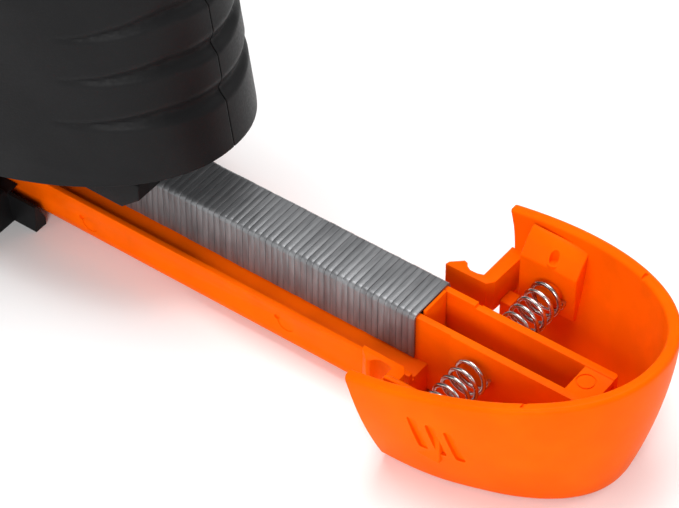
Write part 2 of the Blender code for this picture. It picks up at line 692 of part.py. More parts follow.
# ---------------------------------------------------------------- electrics and controls
def electrics():
    for name, y in (("battery_cell_left", -CELL_R - CLEAR), ("battery_cell_right", CELL_R + CLEAR)):
        end = CELL_X + CELL_LENGTH
        profile = [(CELL_R - 0.6, CELL_X), (CELL_R, CELL_X + 0.6), (CELL_R, end - 1.6)]
        profile += [(CELL_R - 0.6, end - 1.0), (3.0, end - 1.0), (3.0, end)]
        dressed(turned(name, "x", y, DRIVE_Z, profile, 24), name, "blue", True)
    board = box("board", (91.0, 131.0), (-16.0, 16.0), (61.4, 63.0))
    join(board, box("chip", (104.0, 112.0), (-4.0, 4.0), (62.5, 64.6)))
    join(board, box("relay", (118.0, 127.0), (-12.0, -5.0), (62.5, 67.0)))
    dressed(board, "circuit_board", "green")
    socket = cylinder("socket", "x", 0.0, SOCKET_Z, 4.4, 140.5, 147.4, 20)
    cut(socket, cylinder("socket_bore", "x", 0.0, SOCKET_Z, 2.8, 142.0, 160.0, 16))
    join(socket, cylinder("socket_pin", "x", 0.0, SOCKET_Z, 0.8, 141.0, 146.6, 8))
    dressed(socket, "charge_socket", "black")
    dressed(box("lens", (2.6, 4.4), (-4.0, 4.0), (LENS_Z, LENS_Z + 6.0)), "work_light_lens", "clear")

    shape = [(-4.0, 3.5), (3.5, 3.5), (6.0, -4.5), (30.0, -7.5), (30.5, -13.0), (27.0, -17.5)]
    shape += [(20.0, -19.5), (10.0, -18.5), (3.0, -14.0), (-3.5, -8.0)]
    outline = [(TRIGGER_X + x, TRIGGER_Z + z) for x, z in shape]
    trigger = prism("trigger", outline, "y", -TRIGGER_HALF, TRIGGER_HALF)
    step = trigger.modifiers.new("soft", "BEVEL")
    step.width = 1.0 * MM
    step.segments = 2
    apply_modifiers(trigger)
    cut(trigger, cylinder("pivot_bore", "y", TRIGGER_X, TRIGGER_Z, 1.75, -20.0, 20.0, 16))
    dressed(trigger, "trigger", "orange")
    dressed(cylinder("pivot", "y", TRIGGER_X, TRIGGER_Z, 1.65, -9.0, 9.0, 16), "trigger_pin", "steel", True)
    spring = coil("return", "z", TRIGGER_X + 22.0, 0.0, 2.4, 0.3, TRIGGER_Z - 6.2, TRIGGER_Z + 3.7, 5, 8, 4)
    dressed(spring, "trigger_spring", "steel", True)
    switch_x = (TRIGGER_X + 9.0, TRIGGER_X + 27.0)
    switch = box("switch", switch_x, (-4.0, 4.0), (TRIGGER_Z + 4.0, TRIGGER_Z + 12.0))
    button_x = (TRIGGER_X + 12.0, TRIGGER_X + 15.0)
    join(switch, box("button", button_x, (-1.5, 1.5), (TRIGGER_Z + 1.6, TRIGGER_Z + 5.0)))
    dressed(switch, "trigger_switch", "black")
    lock_y = (-GRIP_HALF - 2.0, -GRIP_HALF + 6.0)
    lock = box("lock", (LOCK_X - 3.0, LOCK_X + 3.0), lock_y, (LOCK_Z - 2.0, LOCK_Z + 2.0))
    dressed(lock, "lock_slider", "orange")

    top = TOP_Z + TOP_SLOPE * (SLOPE_X - DIAL_X)
    profile = [(3.0, top - 20.0), (3.0, top - 8.0), (DIAL_R, top - 8.0)]
    profile += [(DIAL_R, top + 3.2), (DIAL_R - 0.8, top + 4.0)]
    dial = turned("dial", "z", DIAL_X, 0.0, profile, 28)
    cut(dial, box("pointer", (DIAL_X - 0.5, DIAL_X + 0.5), (1.0, DIAL_R + 1.0), (top + 3.0, top + 9.0)))
    dressed(dial, "force_dial", "orange")

    for name, (sx, sz) in SCREWS.items():
        head_y = local_half(sx, sz) - 3.4
        profile = [(SCREW_R - 0.5, -12.0), (SCREW_R, -11.0), (SCREW_R, head_y), (SCREW_HEAD_R, head_y)]
        profile += [(SCREW_HEAD_R, head_y + 1.4), (SCREW_HEAD_R - 0.7, head_y + 2.0)]
        dressed(turned(name, "y", sx, sz, profile, 14), name, "dark", True)


housing_halves()
dressed(cover_solid("cover", 0.0), "grip_cover", "rubber", True)
magazine()
nose_and_guide()
electrics()
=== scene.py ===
"""Cordless staple gun with its magazine drawn out: the looks.

Sizes in the tables below are millimetres. They count x from the same datum as the solid model,
NOSE_X ahead of the frame's origin, and one function turns them to metres in the frame.
"""

import math

import bmesh
import bpy
from bpy.props import FloatProperty, FloatVectorProperty, IntProperty, PointerProperty
from mathutils import Matrix, Vector
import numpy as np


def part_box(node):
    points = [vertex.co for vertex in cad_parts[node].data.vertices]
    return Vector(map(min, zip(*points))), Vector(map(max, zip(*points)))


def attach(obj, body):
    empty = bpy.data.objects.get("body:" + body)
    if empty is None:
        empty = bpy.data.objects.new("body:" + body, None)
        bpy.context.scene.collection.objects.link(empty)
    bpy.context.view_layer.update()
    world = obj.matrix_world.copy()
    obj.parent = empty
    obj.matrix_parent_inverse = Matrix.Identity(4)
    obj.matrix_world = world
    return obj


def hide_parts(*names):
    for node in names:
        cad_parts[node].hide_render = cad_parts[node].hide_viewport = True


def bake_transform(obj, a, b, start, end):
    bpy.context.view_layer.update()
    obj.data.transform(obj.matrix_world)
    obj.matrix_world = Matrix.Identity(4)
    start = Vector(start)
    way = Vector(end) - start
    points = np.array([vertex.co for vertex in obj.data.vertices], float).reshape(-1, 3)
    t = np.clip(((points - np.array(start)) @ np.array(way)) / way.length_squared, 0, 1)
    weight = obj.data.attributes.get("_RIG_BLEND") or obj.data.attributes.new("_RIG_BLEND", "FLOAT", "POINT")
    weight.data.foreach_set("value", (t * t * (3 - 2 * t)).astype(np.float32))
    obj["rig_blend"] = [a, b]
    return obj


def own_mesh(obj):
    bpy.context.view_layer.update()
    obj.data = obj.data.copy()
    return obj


bl_info = {
    "name": "Cordless staple gun",
    "version": (1, 0, 0),
    "blender": (4, 5, 0),
    "location": "3D View > Sidebar > Staple gun",
    "description": "Builds the looks of a cordless staple gun over its solid frame",
    "category": "Object",
}

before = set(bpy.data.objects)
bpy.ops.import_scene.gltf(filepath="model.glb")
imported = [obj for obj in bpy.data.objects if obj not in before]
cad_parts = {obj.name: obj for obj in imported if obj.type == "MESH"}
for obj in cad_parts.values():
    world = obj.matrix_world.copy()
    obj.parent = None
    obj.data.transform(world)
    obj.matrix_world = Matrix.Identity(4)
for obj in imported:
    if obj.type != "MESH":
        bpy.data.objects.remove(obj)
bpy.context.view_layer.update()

MM = 0.001

# ---------------------------------------------------------------- sizes shared with the solid model
NOSE_X = 1.1
CROWN_WIDTH = 10.6
LEG_LENGTH = 10.0
WIRE = 0.5
CROWN_Z = 19.0
DRAWN_OUT = 86.3
STRIP_END_X = 204.0
TRAY_HALF = 10.0
TRAY_FRONT = 92.3
TRAY_BOTTOM = 1.0
TRAY_TOP = 10.0
LEDGE_Z = 8.6
LEDGE_Y = 8.7
RAIL_OUT = 4.6
RAIL_IN = 3.4
RAIL_END = 238.0
RAIL_FLOOR = 2.9
BRIDGE_START = 229.0
CAP_A = 44.8
CAP_B = 25.3
CAP_POWER = 2.15
CAP_WALL = 2.3
CAP_INSET = 6.0
CAP_CURVE = 1.7
RIM_Z = 21.8
RIM_SLOPE = 0.2
EDGE_SLANT = 4.1
FLOOR_HALF = 12.8
LATCH_Y = 11.9
LATCH_TIP = 198.6
LATCH_LOW = 7.6
LATCH_TOP = 14.5
HOOK_OUT = 14.3
HOOK_LENGTH = 3.4
WEB_X = 205.4
PAD_Y = 18.0
PAD_X0 = 209.5
PAD_X1 = 221.0
PAD_TOP = 18.8
LATCH_SPRING_X = 216.3
LATCH_SPRING_Z = 13.2
BODY_FRONT = 2.3
GRIP_HALF = 19.0
COLUMN_A = 25.0
BASE_TOP = 62.0
SHOULDER_TOP = 76.0
DOME_Z = 150.0
TOP_Z = 166.0
DOME_R = 15.0
LEAN = 0.157
TOP_SLOPE = 0.10
SLOPE_X = 80.0
BUTT_X = STRIP_END_X - DRAWN_OUT
SKIN = 2.5
GAP = 0.3
OPEN_X0 = 58.0
OPEN_X1 = 127.0
OPEN_Z0 = 78.0
OPEN_Z1 = 130.0
OPEN_R = 16.0
FLARE = 6.0
GUIDE_HALF = 12.0
GUIDE_LOW = 16.9
GUIDE_TOP = 24.0
GUIDE_END = 150.5
GUIDE_FRONT = 6.0
STUB_END = 126.5
STUB_HALF = 13.0
STUB_TOP = 6.0
TRIGGER_X = 63.0
TRIGGER_Z = 141.0
DIAL_X = 32.0
LOCK_X = 66.0
LOCK_Z = 143.0
SOCKET_Z = 116.0
LENS_Z = 86.0
DRIVE_Z = 50.0
SCREWS = ((60.0, 30.2), (46.0, 96.0), (50.0, 144.0), (144.0, 43.0), (139.0, 104.0), (112.0, 142.0))


# ---------------------------------------------------------------- mesh tools
def metres(x, y, z):
    return Vector(((x - NOSE_X) * MM, y * MM, z * MM))


def eased(value, low, high):
    t = min(1.0, max(0.0, (value - low) / (high - low)))
    return t * t * (3 - 2 * t)


def closed_mesh(name, points, faces):
    """A mesh from millimetre points, merged and facing out, in the scene."""
    mesh = bpy.data.meshes.new(name)
    mesh.from_pydata([metres(*p) for p in points], [], faces)
    obj = bpy.data.objects.new(name, mesh)
    bpy.context.scene.collection.objects.link(obj)
    return faced_out(obj)


def faced_out(obj, merge=1e-7):
    work = bmesh.new()
    work.from_mesh(obj.data)
    bmesh.ops.remove_doubles(work, verts=work.verts, dist=merge)
    bmesh.ops.recalc_face_normals(work, faces=work.faces)
    work.to_mesh(obj.data)
    work.free()
    return obj


def loft(name, rings):
    """A closed solid through equal closed rings of points, with a face on each end."""
    count = len(rings[0])
    points = [p for ring in rings for p in ring]
    faces = []
    for k in range(len(rings) - 1):
        for i in range(count):
            j = (i + 1) % count
            faces.append((k * count + i, k * count + j, (k + 1) * count + j, (k + 1) * count + i))
    faces.append(tuple(range(count)))
    last = (len(rings) - 1) * count
    faces.append(tuple(last + i for i in range(count)))
    return closed_mesh(name, points, faces)


def along(axis, u, v, w):
    return {"x": (w, u, v), "y": (u, w, v), "z": (u, v, w)}[axis]


def prism(name, outline, axis, low, high):
    return loft(name, [[along(axis, u, v, w) for u, v in outline] for w in (low, high)])


def box(name, x, y, z):
    return prism(name, [(x[0], y[0]), (x[1], y[0]), (x[1], y[1]), (x[0], y[1])], "z", z[0], z[1])


def circle(cu, cv, r, steps):
    turns = [2 * math.pi * i / steps for i in range(steps)]
    return [(cu + r * math.cos(a), cv + r * math.sin(a)) for a in turns]


def cylinder(name, axis, cu, cv, r, low, high, steps=40):
    return prism(name, circle(cu, cv, r, steps), axis, low, high)


def turned(name, axis, cu, cv, profile, steps=64):
    """A solid of revolution from (radius, position) pairs, each radius above zero."""
    rings = [[along(axis, u, v, w) for u, v in circle(cu, cv, r, steps)] for r, w in profile]
    return loft(name, rings)


def rounded(x0, x1, z0, z1, r, grow=0.0, steps=12):
    points = []
    centres = [(x1 - r, z1 - r, 0), (x0 + r, z1 - r, 90), (x0 + r, z0 + r, 180), (x1 - r, z0 + r, 270)]
    for cx, cz, start in centres:
        for i in range(steps + 1):
            a = math.radians(start + 90 * i / steps)
            points.append((cx + (r + grow) * math.cos(a), cz + (r + grow) * math.sin(a)))
    return points


def settle(obj):
    """Turns what an object's modifiers make into its plain mesh."""
    graph = bpy.context.evaluated_depsgraph_get()
    mesh = bpy.data.meshes.new_from_object(obj.evaluated_get(graph))
    obj.modifiers.clear()
    old = obj.data
    obj.data = mesh
    if old.users == 0:
        bpy.data.meshes.remove(old)
    return obj


def boolean(obj, other, operation, solver="MANIFOLD"):
    step = obj.modifiers.new("boolean", "BOOLEAN")
    step.operation = operation
    step.solver = solver
    step.object = other
    settle(obj)
    bpy.data.objects.remove(other, do_unlink=True)
    return obj


def cut(obj, other):
    return boolean(obj, other, "DIFFERENCE")


def join(obj, other):
    return boolean(obj, other, "UNION")


def flat_faces(obj, degrees=0.5):
    """Makes one face of each flat patch, so that a bevel runs along whole edges."""
    work = bmesh.new()
    work.from_mesh(obj.data)
    bmesh.ops.remove_doubles(work, verts=work.verts, dist=2e-6)
    bmesh.ops.dissolve_degenerate(work, edges=work.edges, dist=1e-6)
    bmesh.ops.dissolve_limit(
        work, angle_limit=math.radians(degrees), verts=work.verts, edges=work.edges
    )
    work.to_mesh(obj.data)
    work.free()
    return obj


def soften(obj, width, segments=2, degrees=30.0, merge=0.5):
    """Rounds an object's sharp edges by width millimetres."""
    flat_faces(obj, merge)
    step = obj.modifiers.new("edges", "BEVEL")
    step.width = width * MM
    step.segments = segments
    step.limit_method = "ANGLE"
    step.angle_limit = math.radians(degrees)
    step.use_clamp_overlap = True
    return settle(obj)


def dress(obj, name, look, bodies, replaces=(), angle=32.0):
    """Names a finished piece, gives it its material and fastens it to its body."""
    obj.name = name
    obj.data.name = name
    if look is not None:
        obj.data.materials.clear()
        obj.data.materials.append(look)
    for face in obj.data.polygons:
        face.use_smooth = True
    obj.data.set_sharp_from_angle(angle=math.radians(angle))
    if bodies:
        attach(obj, bodies)
    if replaces:
        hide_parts(*replaces)
    return obj


def copy_of_node(node, name):
    """A merged copy of a solid from the frame, to be given finer edges."""
    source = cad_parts[node]
    obj = bpy.data.objects.new(name, source.data.copy())
    bpy.context.scene.collection.objects.link(obj)
    work = bmesh.new()
    work.from_mesh(obj.data)
    bmesh.ops.remove_doubles(work, verts=work.verts, dist=2e-6)
    work.to_mesh(obj.data)
    work.free()
    return obj


def fine_copy(node, width, look, body, degrees=30.0, merge=1.0, segments=2, angle=32.0):
    obj = copy_of_node(node, node + "_fine")
    for layer in list(obj.data.attributes):
        if layer.name == "sharp_edge" or layer.name == "sharp_face":
            obj.data.attributes.remove(layer)
    soften(obj, width, segments, degrees, merge)
    return dress(obj, node + "_fine", look, body, (node,), angle)


# ---------------------------------------------------------------- node tools
def add(tree, kind, settings=None, links=None):
    """Adds a node, sets its own settings, and sets or links its inputs by name or number."""
    made = tree.nodes.new(kind)
    for key, value in (settings or {}).items():
        setattr(made, key, value)
    for key, value in (links or {}).items():
        socket = made.inputs[key]
        if isinstance(value, bpy.types.NodeSocket):
            tree.links.new(value, socket)
        else:
            socket.default_value = value
    return made


def linear(hex_colour):
    """A linear colour from sRGB hex."""
    parts = [int(hex_colour[i : i + 2], 16) / 255 for i in (1, 3, 5)]
    return tuple(p / 12.92 if p <= 0.04045 else ((p + 0.055) / 1.055) ** 2.4 for p in parts) + (1.0,)


def geometry_tree(name, inputs):
    """An empty Geometry Nodes tree with a geometry in and out and named sizes."""
    tree = bpy.data.node_groups.new(name, "GeometryNodeTree")
    tree.interface.new_socket("Geometry", in_out="INPUT", socket_type="NodeSocketGeometry")
    for label, kind, default in inputs:
        made = tree.interface.new_socket(label, in_out="INPUT", socket_type="NodeSocket" + kind)
        if default is not None:
            made.default_value = default
    tree.interface.new_socket("Geometry", in_out="OUTPUT", socket_type="NodeSocketGeometry")
    tree.is_modifier = True
    return tree, add(tree, "NodeGroupInput"), add(tree, "NodeGroupOutput")


def end_tree(tree, out, shape, look):
    """Realises instances and sets the material at the end of a tree."""
    real = add(tree, "GeometryNodeRealizeInstances", links={"Geometry": shape})
    dressed = add(tree, "GeometryNodeSetMaterial", links={"Geometry": real.outputs[0]})
    if look is not None:
        dressed.inputs["Material"].default_value = look
        tree.links.new(dressed.outputs[0], out.inputs[0])
    else:
        tree.links.new(real.outputs[0], out.inputs[0])


def run_tree(obj, tree, values=None):
    """Runs a tree on an object with its inputs set by identifier, and keeps the plain mesh."""
    step = obj.modifiers.new("nodes", "NODES")
    step.node_group = tree
    for item in tree.interface.items_tree:
        if item.item_type == "SOCKET" and item.in_out == "INPUT" and item.name in (values or {}):
            step[item.identifier] = values[item.name]
    settle(obj)
    bpy.data.node_groups.remove(tree)
    return obj


def empty_mesh(name):
    obj = bpy.data.objects.new(name, bpy.data.meshes.new(name))
    bpy.context.scene.collection.objects.link(obj)
    return obj


# ---------------------------------------------------------------- materials
def textured(name, light, dark, patch, roughness, grit, relief, metallic=0.0, stretch=(1, 1, 1), edge=0.0):
    """A material that drifts between two colours over patch mm, with grit mm of relief."""
    made = bpy.data.materials.new(name)
    made.use_nodes = True
    tree = made.node_tree
    shader = tree.nodes["Principled BSDF"]
    shader.inputs["Metallic"].default_value = metallic
    place = add(tree, "ShaderNodeTexCoord").outputs["Object"]
    drawn = add(tree, "ShaderNodeMapping", links={"Vector": place, "Scale": stretch}).outputs[0]
    drift = add(
        tree, "ShaderNodeTexNoise", links={"Vector": drawn, "Scale": 1000 / patch, "Detail": 4.0}
    )
    share = add(
        tree, "ShaderNodeMapRange", links={0: drift.outputs[0], 1: 0.35, 2: 0.65, 3: 0.0, 4: 1.0}
    )
    tint = add(
        tree,
        "ShaderNodeMix",
        {"data_type": "RGBA"},
        {0: share.outputs[0], 6: linear(light), 7: linear(dark)},
    )
    tree.links.new(tint.outputs[2], shader.inputs["Base Color"])
    fine = add(
        tree, "ShaderNodeTexNoise", links={"Vector": drawn, "Scale": 1000 / grit, "Detail": 2.0}
    )
    matt = add(
        tree,
        "ShaderNodeMapRange",
        links={0: fine.outputs[0], 1: 0.3, 2: 0.7, 3: roughness[0], 4: roughness[1]},
    )
    tree.links.new(matt.outputs[0], shader.inputs["Roughness"])
    bump = add(
        tree, "ShaderNodeBump", links={"Strength": 1.0, "Distance": relief * MM, "Height": fine.outputs[0]}
    )
    if edge:
        rim = add(tree, "ShaderNodeBevel", {"samples": 4}, {"Radius": edge * MM})
        tree.links.new(rim.outputs[0], bump.inputs["Normal"])
    tree.links.new(bump.outputs[0], shader.inputs["Normal"])
    return made, tree, shader, place, tint, bump


def orange_abs(colour):
    """Injection-moulded ABS: even satin skin, a little light passes through thin walls."""
    made, tree, shader, place, _, bump = textured(
        "Orange ABS moulding", colour, "#FB6100", 9.0, (0.34, 0.44), 0.22, 0.0025
    )
    # a resin this bright scatters red light inside a two-millimetre wall
    shader.inputs["Subsurface Weight"].default_value = 0.1
    shader.inputs["Subsurface Radius"].default_value = (1.0, 0.32, 0.05)
    shader.inputs["Subsurface Scale"].default_value = 1.6 * MM
    shader.inputs["Specular IOR Level"].default_value = 0.02
    # long faint flow lines run through the mouldings from the gate
    flow = add(
        tree, "ShaderNodeTexNoise", links={"Vector": place, "Scale": 1000 / 26.0, "Distortion": 1.2}
    )
    low = add(
        tree, "ShaderNodeBump", links={"Strength": 0.25, "Distance": 0.05 * MM, "Height": flow.outputs[0]}
    )
    tree.links.new(low.outputs[0], bump.inputs["Normal"])
    return made


def black_nylon(colour, name="Black glass-filled nylon", edge=0.3):
    """Glass-filled nylon from a spark-eroded mould: charcoal, dry, with a fine even grain."""
    made, tree, shader, place, tint, _ = textured(
        name, colour, "#161617", 14.0, (0.38, 0.5), 0.45, 0.02, edge=edge
    )
    shader.inputs["Specular IOR Level"].default_value = 0.09
    # the grain of a spark-eroded mould is about 0.1 mm; it is drawn at 0.3 mm, which still shows; lighter
    # flecks at 0.3 mm go into the base colour as painted glints where light would catch the grain
    pits = add(
        tree, "ShaderNodeTexVoronoi", {"feature": "F1"}, {"Vector": place, "Scale": 1000 / 0.3}
    )
    painted_glint_flecks = add(tree, "ShaderNodeMapRange", links={0: pits.outputs[0], 1: 0.0, 2: 0.22, 3: 0.35, 4: 0.0})
    # painted glints: lighter flecks mixed into the base colour stand in for light off the grain
    painted_glints = add(
        tree,
        "ShaderNodeMix",
        {"data_type": "RGBA"},
        {0: painted_glint_flecks.outputs[0], 6: tint.outputs[2], 7: linear("#3A3A3C")},
    )
    tree.links.new(painted_glints.outputs[2], shader.inputs["Base Color"])
    return made


def staple_wire(colour):
    """Galvanised flat wire: each staple cut from another stretch of it, drawn lines along it."""
    made, tree, shader, place, tint, _ = textured(
        "Galvanised steel wire", colour, "#6E6F71", 2.5, (0.3, 0.42), 0.35, 0.004, 0.45, (3.0, 0.35, 0.35)
    )
    axes = add(tree, "ShaderNodeSeparateXYZ", links={0: place})
    # one step for each 1.25 mm of strip, so that each staple has a shade of its own
    count = add(
        tree, "ShaderNodeMath", {"operation": "MULTIPLY_ADD"}, {0: axes.outputs[0], 1: 800.0, 2: 0.68}
    )
    whole = add(tree, "ShaderNodeMath", {"operation": "FLOOR"}, {0: count.outputs[0]})
    pick = add(tree, "ShaderNodeTexWhiteNoise", {"noise_dimensions": "1D"}, {"W": whole.outputs[0]})
    shade = add(
        tree,
        "ShaderNodeMix",
        {"data_type": "RGBA", "blend_type": "MULTIPLY"},
        {0: 1.0, 6: tint.outputs[2]},
    )
    dull = add(tree, "ShaderNodeMapRange", links={0: pick.outputs[0], 3: 0.84, 4: 1.0})
    tree.links.new(dull.outputs[0], shade.inputs[7])
    tree.links.new(shade.outputs[2], shader.inputs["Base Color"])
    return made


def steel(name, light, dark, roughness, stretch=(1, 1, 1), grit=0.3, relief=0.003, patch=6.0):
    """Bare or finished steel: drawn, ground or rolled, told apart by its lines and its gloss."""
    return textured(name, light, dark, patch, roughness, grit, relief, 1.0, stretch)[0]


def plain(name, light, dark, roughness, patch=5.0, grit=0.3, relief=0.006, edge=0.0):
    return textured(name, light, dark, patch, roughness, grit, relief, edge=edge)[0]


def clear_lens():
    """Clear polycarbonate: a lens with faint moulded flutes."""
    made, _, shader, *_ = textured(
        "Clear polycarbonate", "#F4F8FC", "#E6EDF4", 4.0, (0.03, 0.08), 0.8, 0.01
    )
    shader.inputs["Transmission Weight"].default_value = 0.85
    shader.inputs["IOR"].default_value = 1.58
    return made


def stage_white():
    """Matt white paper: even, with a faint tooth."""
    made, _, shader, *_ = textured(
        "White paper sweep", "#FFFFFF", "#FDFDFD", 60.0, (0.85, 0.95), 1.2, 0.01
    )
    shader.inputs["Specular IOR Level"].default_value = 0.1
    return made


LOOKS = {}


def look(name):
    """The finish by its short name, made once."""
    if name in LOOKS:
        return LOOKS[name]
    tones = bpy.context.scene.staple_gun_colours
    makers = {
        "orange": lambda: orange_abs(hex_of(tones.moulding)),
        "black": lambda: black_nylon(hex_of(tones.housing)),
        "inner black": lambda: black_nylon("#232325", "Black nylon, small parts", 0.15),
        "rubber": lambda: plain(
            "Soft black rubber", "#191919", "#121212", (0.78, 0.92), 8.0, 0.5, 0.03, 0.3
        ),
        "staple": lambda: staple_wire("#858688"),
        # drawn spring wire keeps a bright skin with fine lines along it
        "spring": lambda: steel("Bright spring wire", "#D6CFCB", "#9F9A98", (0.14, 0.28), grit=0.2),
        "dark spring": lambda: steel("Oiled spring wire", "#77777A", "#4C4C50", (0.25, 0.4)),
        # ground flat stock shows straight lines from the wheel
        "ground": lambda: steel(
            "Ground tool steel", "#B9BCC0", "#8E9196", (0.22, 0.36), (0.2, 4.0, 0.2), 0.5
        ),
        "pressed": lambda: steel("Zinc-plated steel sheet", "#C9CCC8", "#A3A8A6", (0.28, 0.42), patch=9.0),
        "blackened": lambda: steel("Blackened steel", "#4A4B4E", "#2B2C2F", (0.34, 0.52), patch=3.0),
        "sintered": lambda: steel(
            "Sintered steel", "#77797C", "#5A5C60", (0.5, 0.68), grit=0.25, relief=0.02
        ),
        "can": lambda: steel("Nickel-plated motor can", "#CFCBC2", "#A9A69F", (0.18, 0.3), (0.3, 2.0, 2.0)),
        "tin": lambda: steel("Tinned contact", "#D9D9D6", "#B8B8B4", (0.2, 0.34)),
        "sleeve": lambda: plain("Shrunk sleeve film", "#1F5FA8", "#174C8C", (0.22, 0.34), 12.0, 1.5, 0.02),
        "board": lambda: plain("Solder mask on laminate", "#146B3A", "#0F5930", (0.25, 0.4), 3.0, 0.7, 0.02),
        "chip": lambda: plain("Moulded epoxy", "#1A1A1C", "#262628", (0.5, 0.65), 2.0, 0.2, 0.01),
        "lens": clear_lens,
        "stage": stage_white,
    }
    LOOKS[name] = makers[name]()
    return LOOKS[name]


def hex_of(colour):
    """sRGB hex from a colour property, which is kept as sRGB values."""
    return "#%02X%02X%02X" % tuple(round(255 * c) for c in colour)


# ---------------------------------------------------------------- housing shapes
def rim_height(x):
    return RIM_Z + RIM_SLOPE * (x - BUTT_X)


def body_half(z):
    return CAP_B + (GRIP_HALF - CAP_B) * eased(z, BASE_TOP, SHOULDER_TOP)


def body_ring(z, inset, angles, extra=0.0):
    """One level of the body: half an ellipse at the rear and a squarer front."""
    top = TOP_Z - inset
    drop = inset + extra
    if z > DOME_Z:
        t = min(0.97, (z - DOME_Z) / (top - DOME_Z))
        drop += DOME_R * (1 - math.sqrt(1 - t * t))
    half = body_half(z) - drop
    rear = BUTT_X + CAP_A - LEAN * max(0.0, z - rim_height(BUTT_X + CAP_A)) - drop
    front = BODY_FRONT + drop
    semi = CAP_A + (COLUMN_A - CAP_A) * eased(z, BASE_TOP, SHOULDER_TOP) - drop
    middle = rear - semi
    points = []
    for a in angles:
        c, s = math.cos(a), math.sin(a)
        if c >= -1e-9:
            power = 2 / CAP_POWER
            x = middle + semi * abs(c) ** power
        else:
            power = 2 / 5.0
            x = middle - (middle - front) * abs(c) ** power
        y = half * math.copysign(abs(s) ** power, s)
        lift = TOP_SLOPE * (SLOPE_X - x) * eased(z, SHOULDER_TOP, DOME_Z)
        points.append((x, y, z + lift))
    return points


def body_solid(name, inset, fine):
    """The whole body as one closed skin; fine packs its levels where the grooves are."""
    rear, front = (180, 84) if fine else (60, 30)
    angles = [math.pi * (i / rear - 0.5) for i in range(rear)]
    angles += [math.pi * (i / front + 0.5) for i in range(front)]
    step = 0.5 if fine else 3.0
    levels = [(inset, 1.2), (inset + 0.35, 0.35), (inset + 1.2, 0.0), (8.0, 0.0), (16.0, 0.0), (21.0, 0.0)]
    z = 21.5
    while z < SHOULDER_TOP:
        levels.append((z, 0.0))
        z += step
    levels += [(SHOULDER_TOP + (DOME_Z - SHOULDER_TOP) * i / 24, 0.0) for i in range(25)]
    rounds = 18 if fine else 9
    levels += [
        (DOME_Z + (TOP_Z - inset - DOME_Z) * math.sin(math.pi / 2 * i / rounds), 0.0)
        for i in range(1, rounds + 1)
    ]
    return loft(name, [body_ring(z, inset, angles, extra) for z, extra in levels])


def local_half(x, z):
    rear = BUTT_X + CAP_A - LEAN * max(0.0, z - rim_height(BUTT_X + CAP_A))
    semi = CAP_A + (COLUMN_A - CAP_A) * eased(z, BASE_TOP, SHOULDER_TOP)
    t = max(0.0, x - (rear - semi)) / semi
    return body_half(z) * (1 - t**CAP_POWER) ** (1 / CAP_POWER)


def opening_solid(name, grow):
    reach = GRIP_HALF - 1.0
    rings = [(-40.0, 1.0), (-reach, 1.0)]
    rings += [(-reach + FLARE * t, 1 - math.sqrt(1 - (1 - t) ** 2)) for t in [i / 8 for i in range(1, 9)]]
    rings += [(-y, share) for y, share in reversed(rings)]
    out = []
    for y, share in rings:
        outline = rounded(OPEN_X0, OPEN_X1, OPEN_Z0, OPEN_Z1, OPEN_R, FLARE * share * 0.8 + grow)
        ring = []
        for x, z in outline:
            ring.append((x, y, z + TOP_SLOPE * (SLOPE_X - x) * eased(z, OPEN_Z0, OPEN_Z1)))
        out.append(ring)
    return loft(name, out)


def cap_zone(name, gap):
    far = BUTT_X + CAP_A + 30
    outline = [
        (BUTT_X - gap, rim_height(BUTT_X) + gap),
        (BUTT_X + EDGE_SLANT - gap, -1.0),
        (BUTT_X + EDGE_SLANT - gap, -10.0),
        (far, -10.0),
        (far, rim_height(far) + gap),
    ]
    return prism(name, outline, "y", -40.0, 40.0)


def groove_lines(name):
    """The three sweeping grooves on each side of the butt, as lines just off its skin."""
    routes = (
        ((141.5, 41.0), (147.0, 41.2), (152.0, 41.9), (157.0, 42.8), (161.5, 42.6)),
        ((142.6, 50.0), (148.0, 50.5), (153.0, 51.6), (157.0, 52.7), (161.0, 51.8)),
        ((141.6, 58.2), (147.0, 59.3), (152.0, 60.8), (156.0, 62.4), (160.0, 61.4)),
    )
    points, edges = [], []
    for side in (-1, 1):
        for route in routes:
            start = len(points)
            for i in range(49):
                t = i / 48
                x = route[0][0] + (route[-1][0] - route[0][0]) * math.sin(t * math.pi / 2)
                k = min(len(route) - 2, sum(1 for p in route[1:-1] if p[0] <= x))
                (x0, z0), (x1, z1) = route[k], route[k + 1]
                z = z0 + (z1 - z0) * (x - x0) / (x1 - x0)
                y = side * local_half(min(x, BUTT_X + CAP_A - LEAN * (z - 30.8) - 0.01), z)
                points.append(metres(x, y, z))
            edges += [(start + i, start + i + 1) for i in range(48)]
    mesh = bpy.data.meshes.new(name)
    mesh.from_pydata(points, edges, [])
    obj = bpy.data.objects.new(name, mesh)
    bpy.context.scene.collection.objects.link(obj)
    return obj


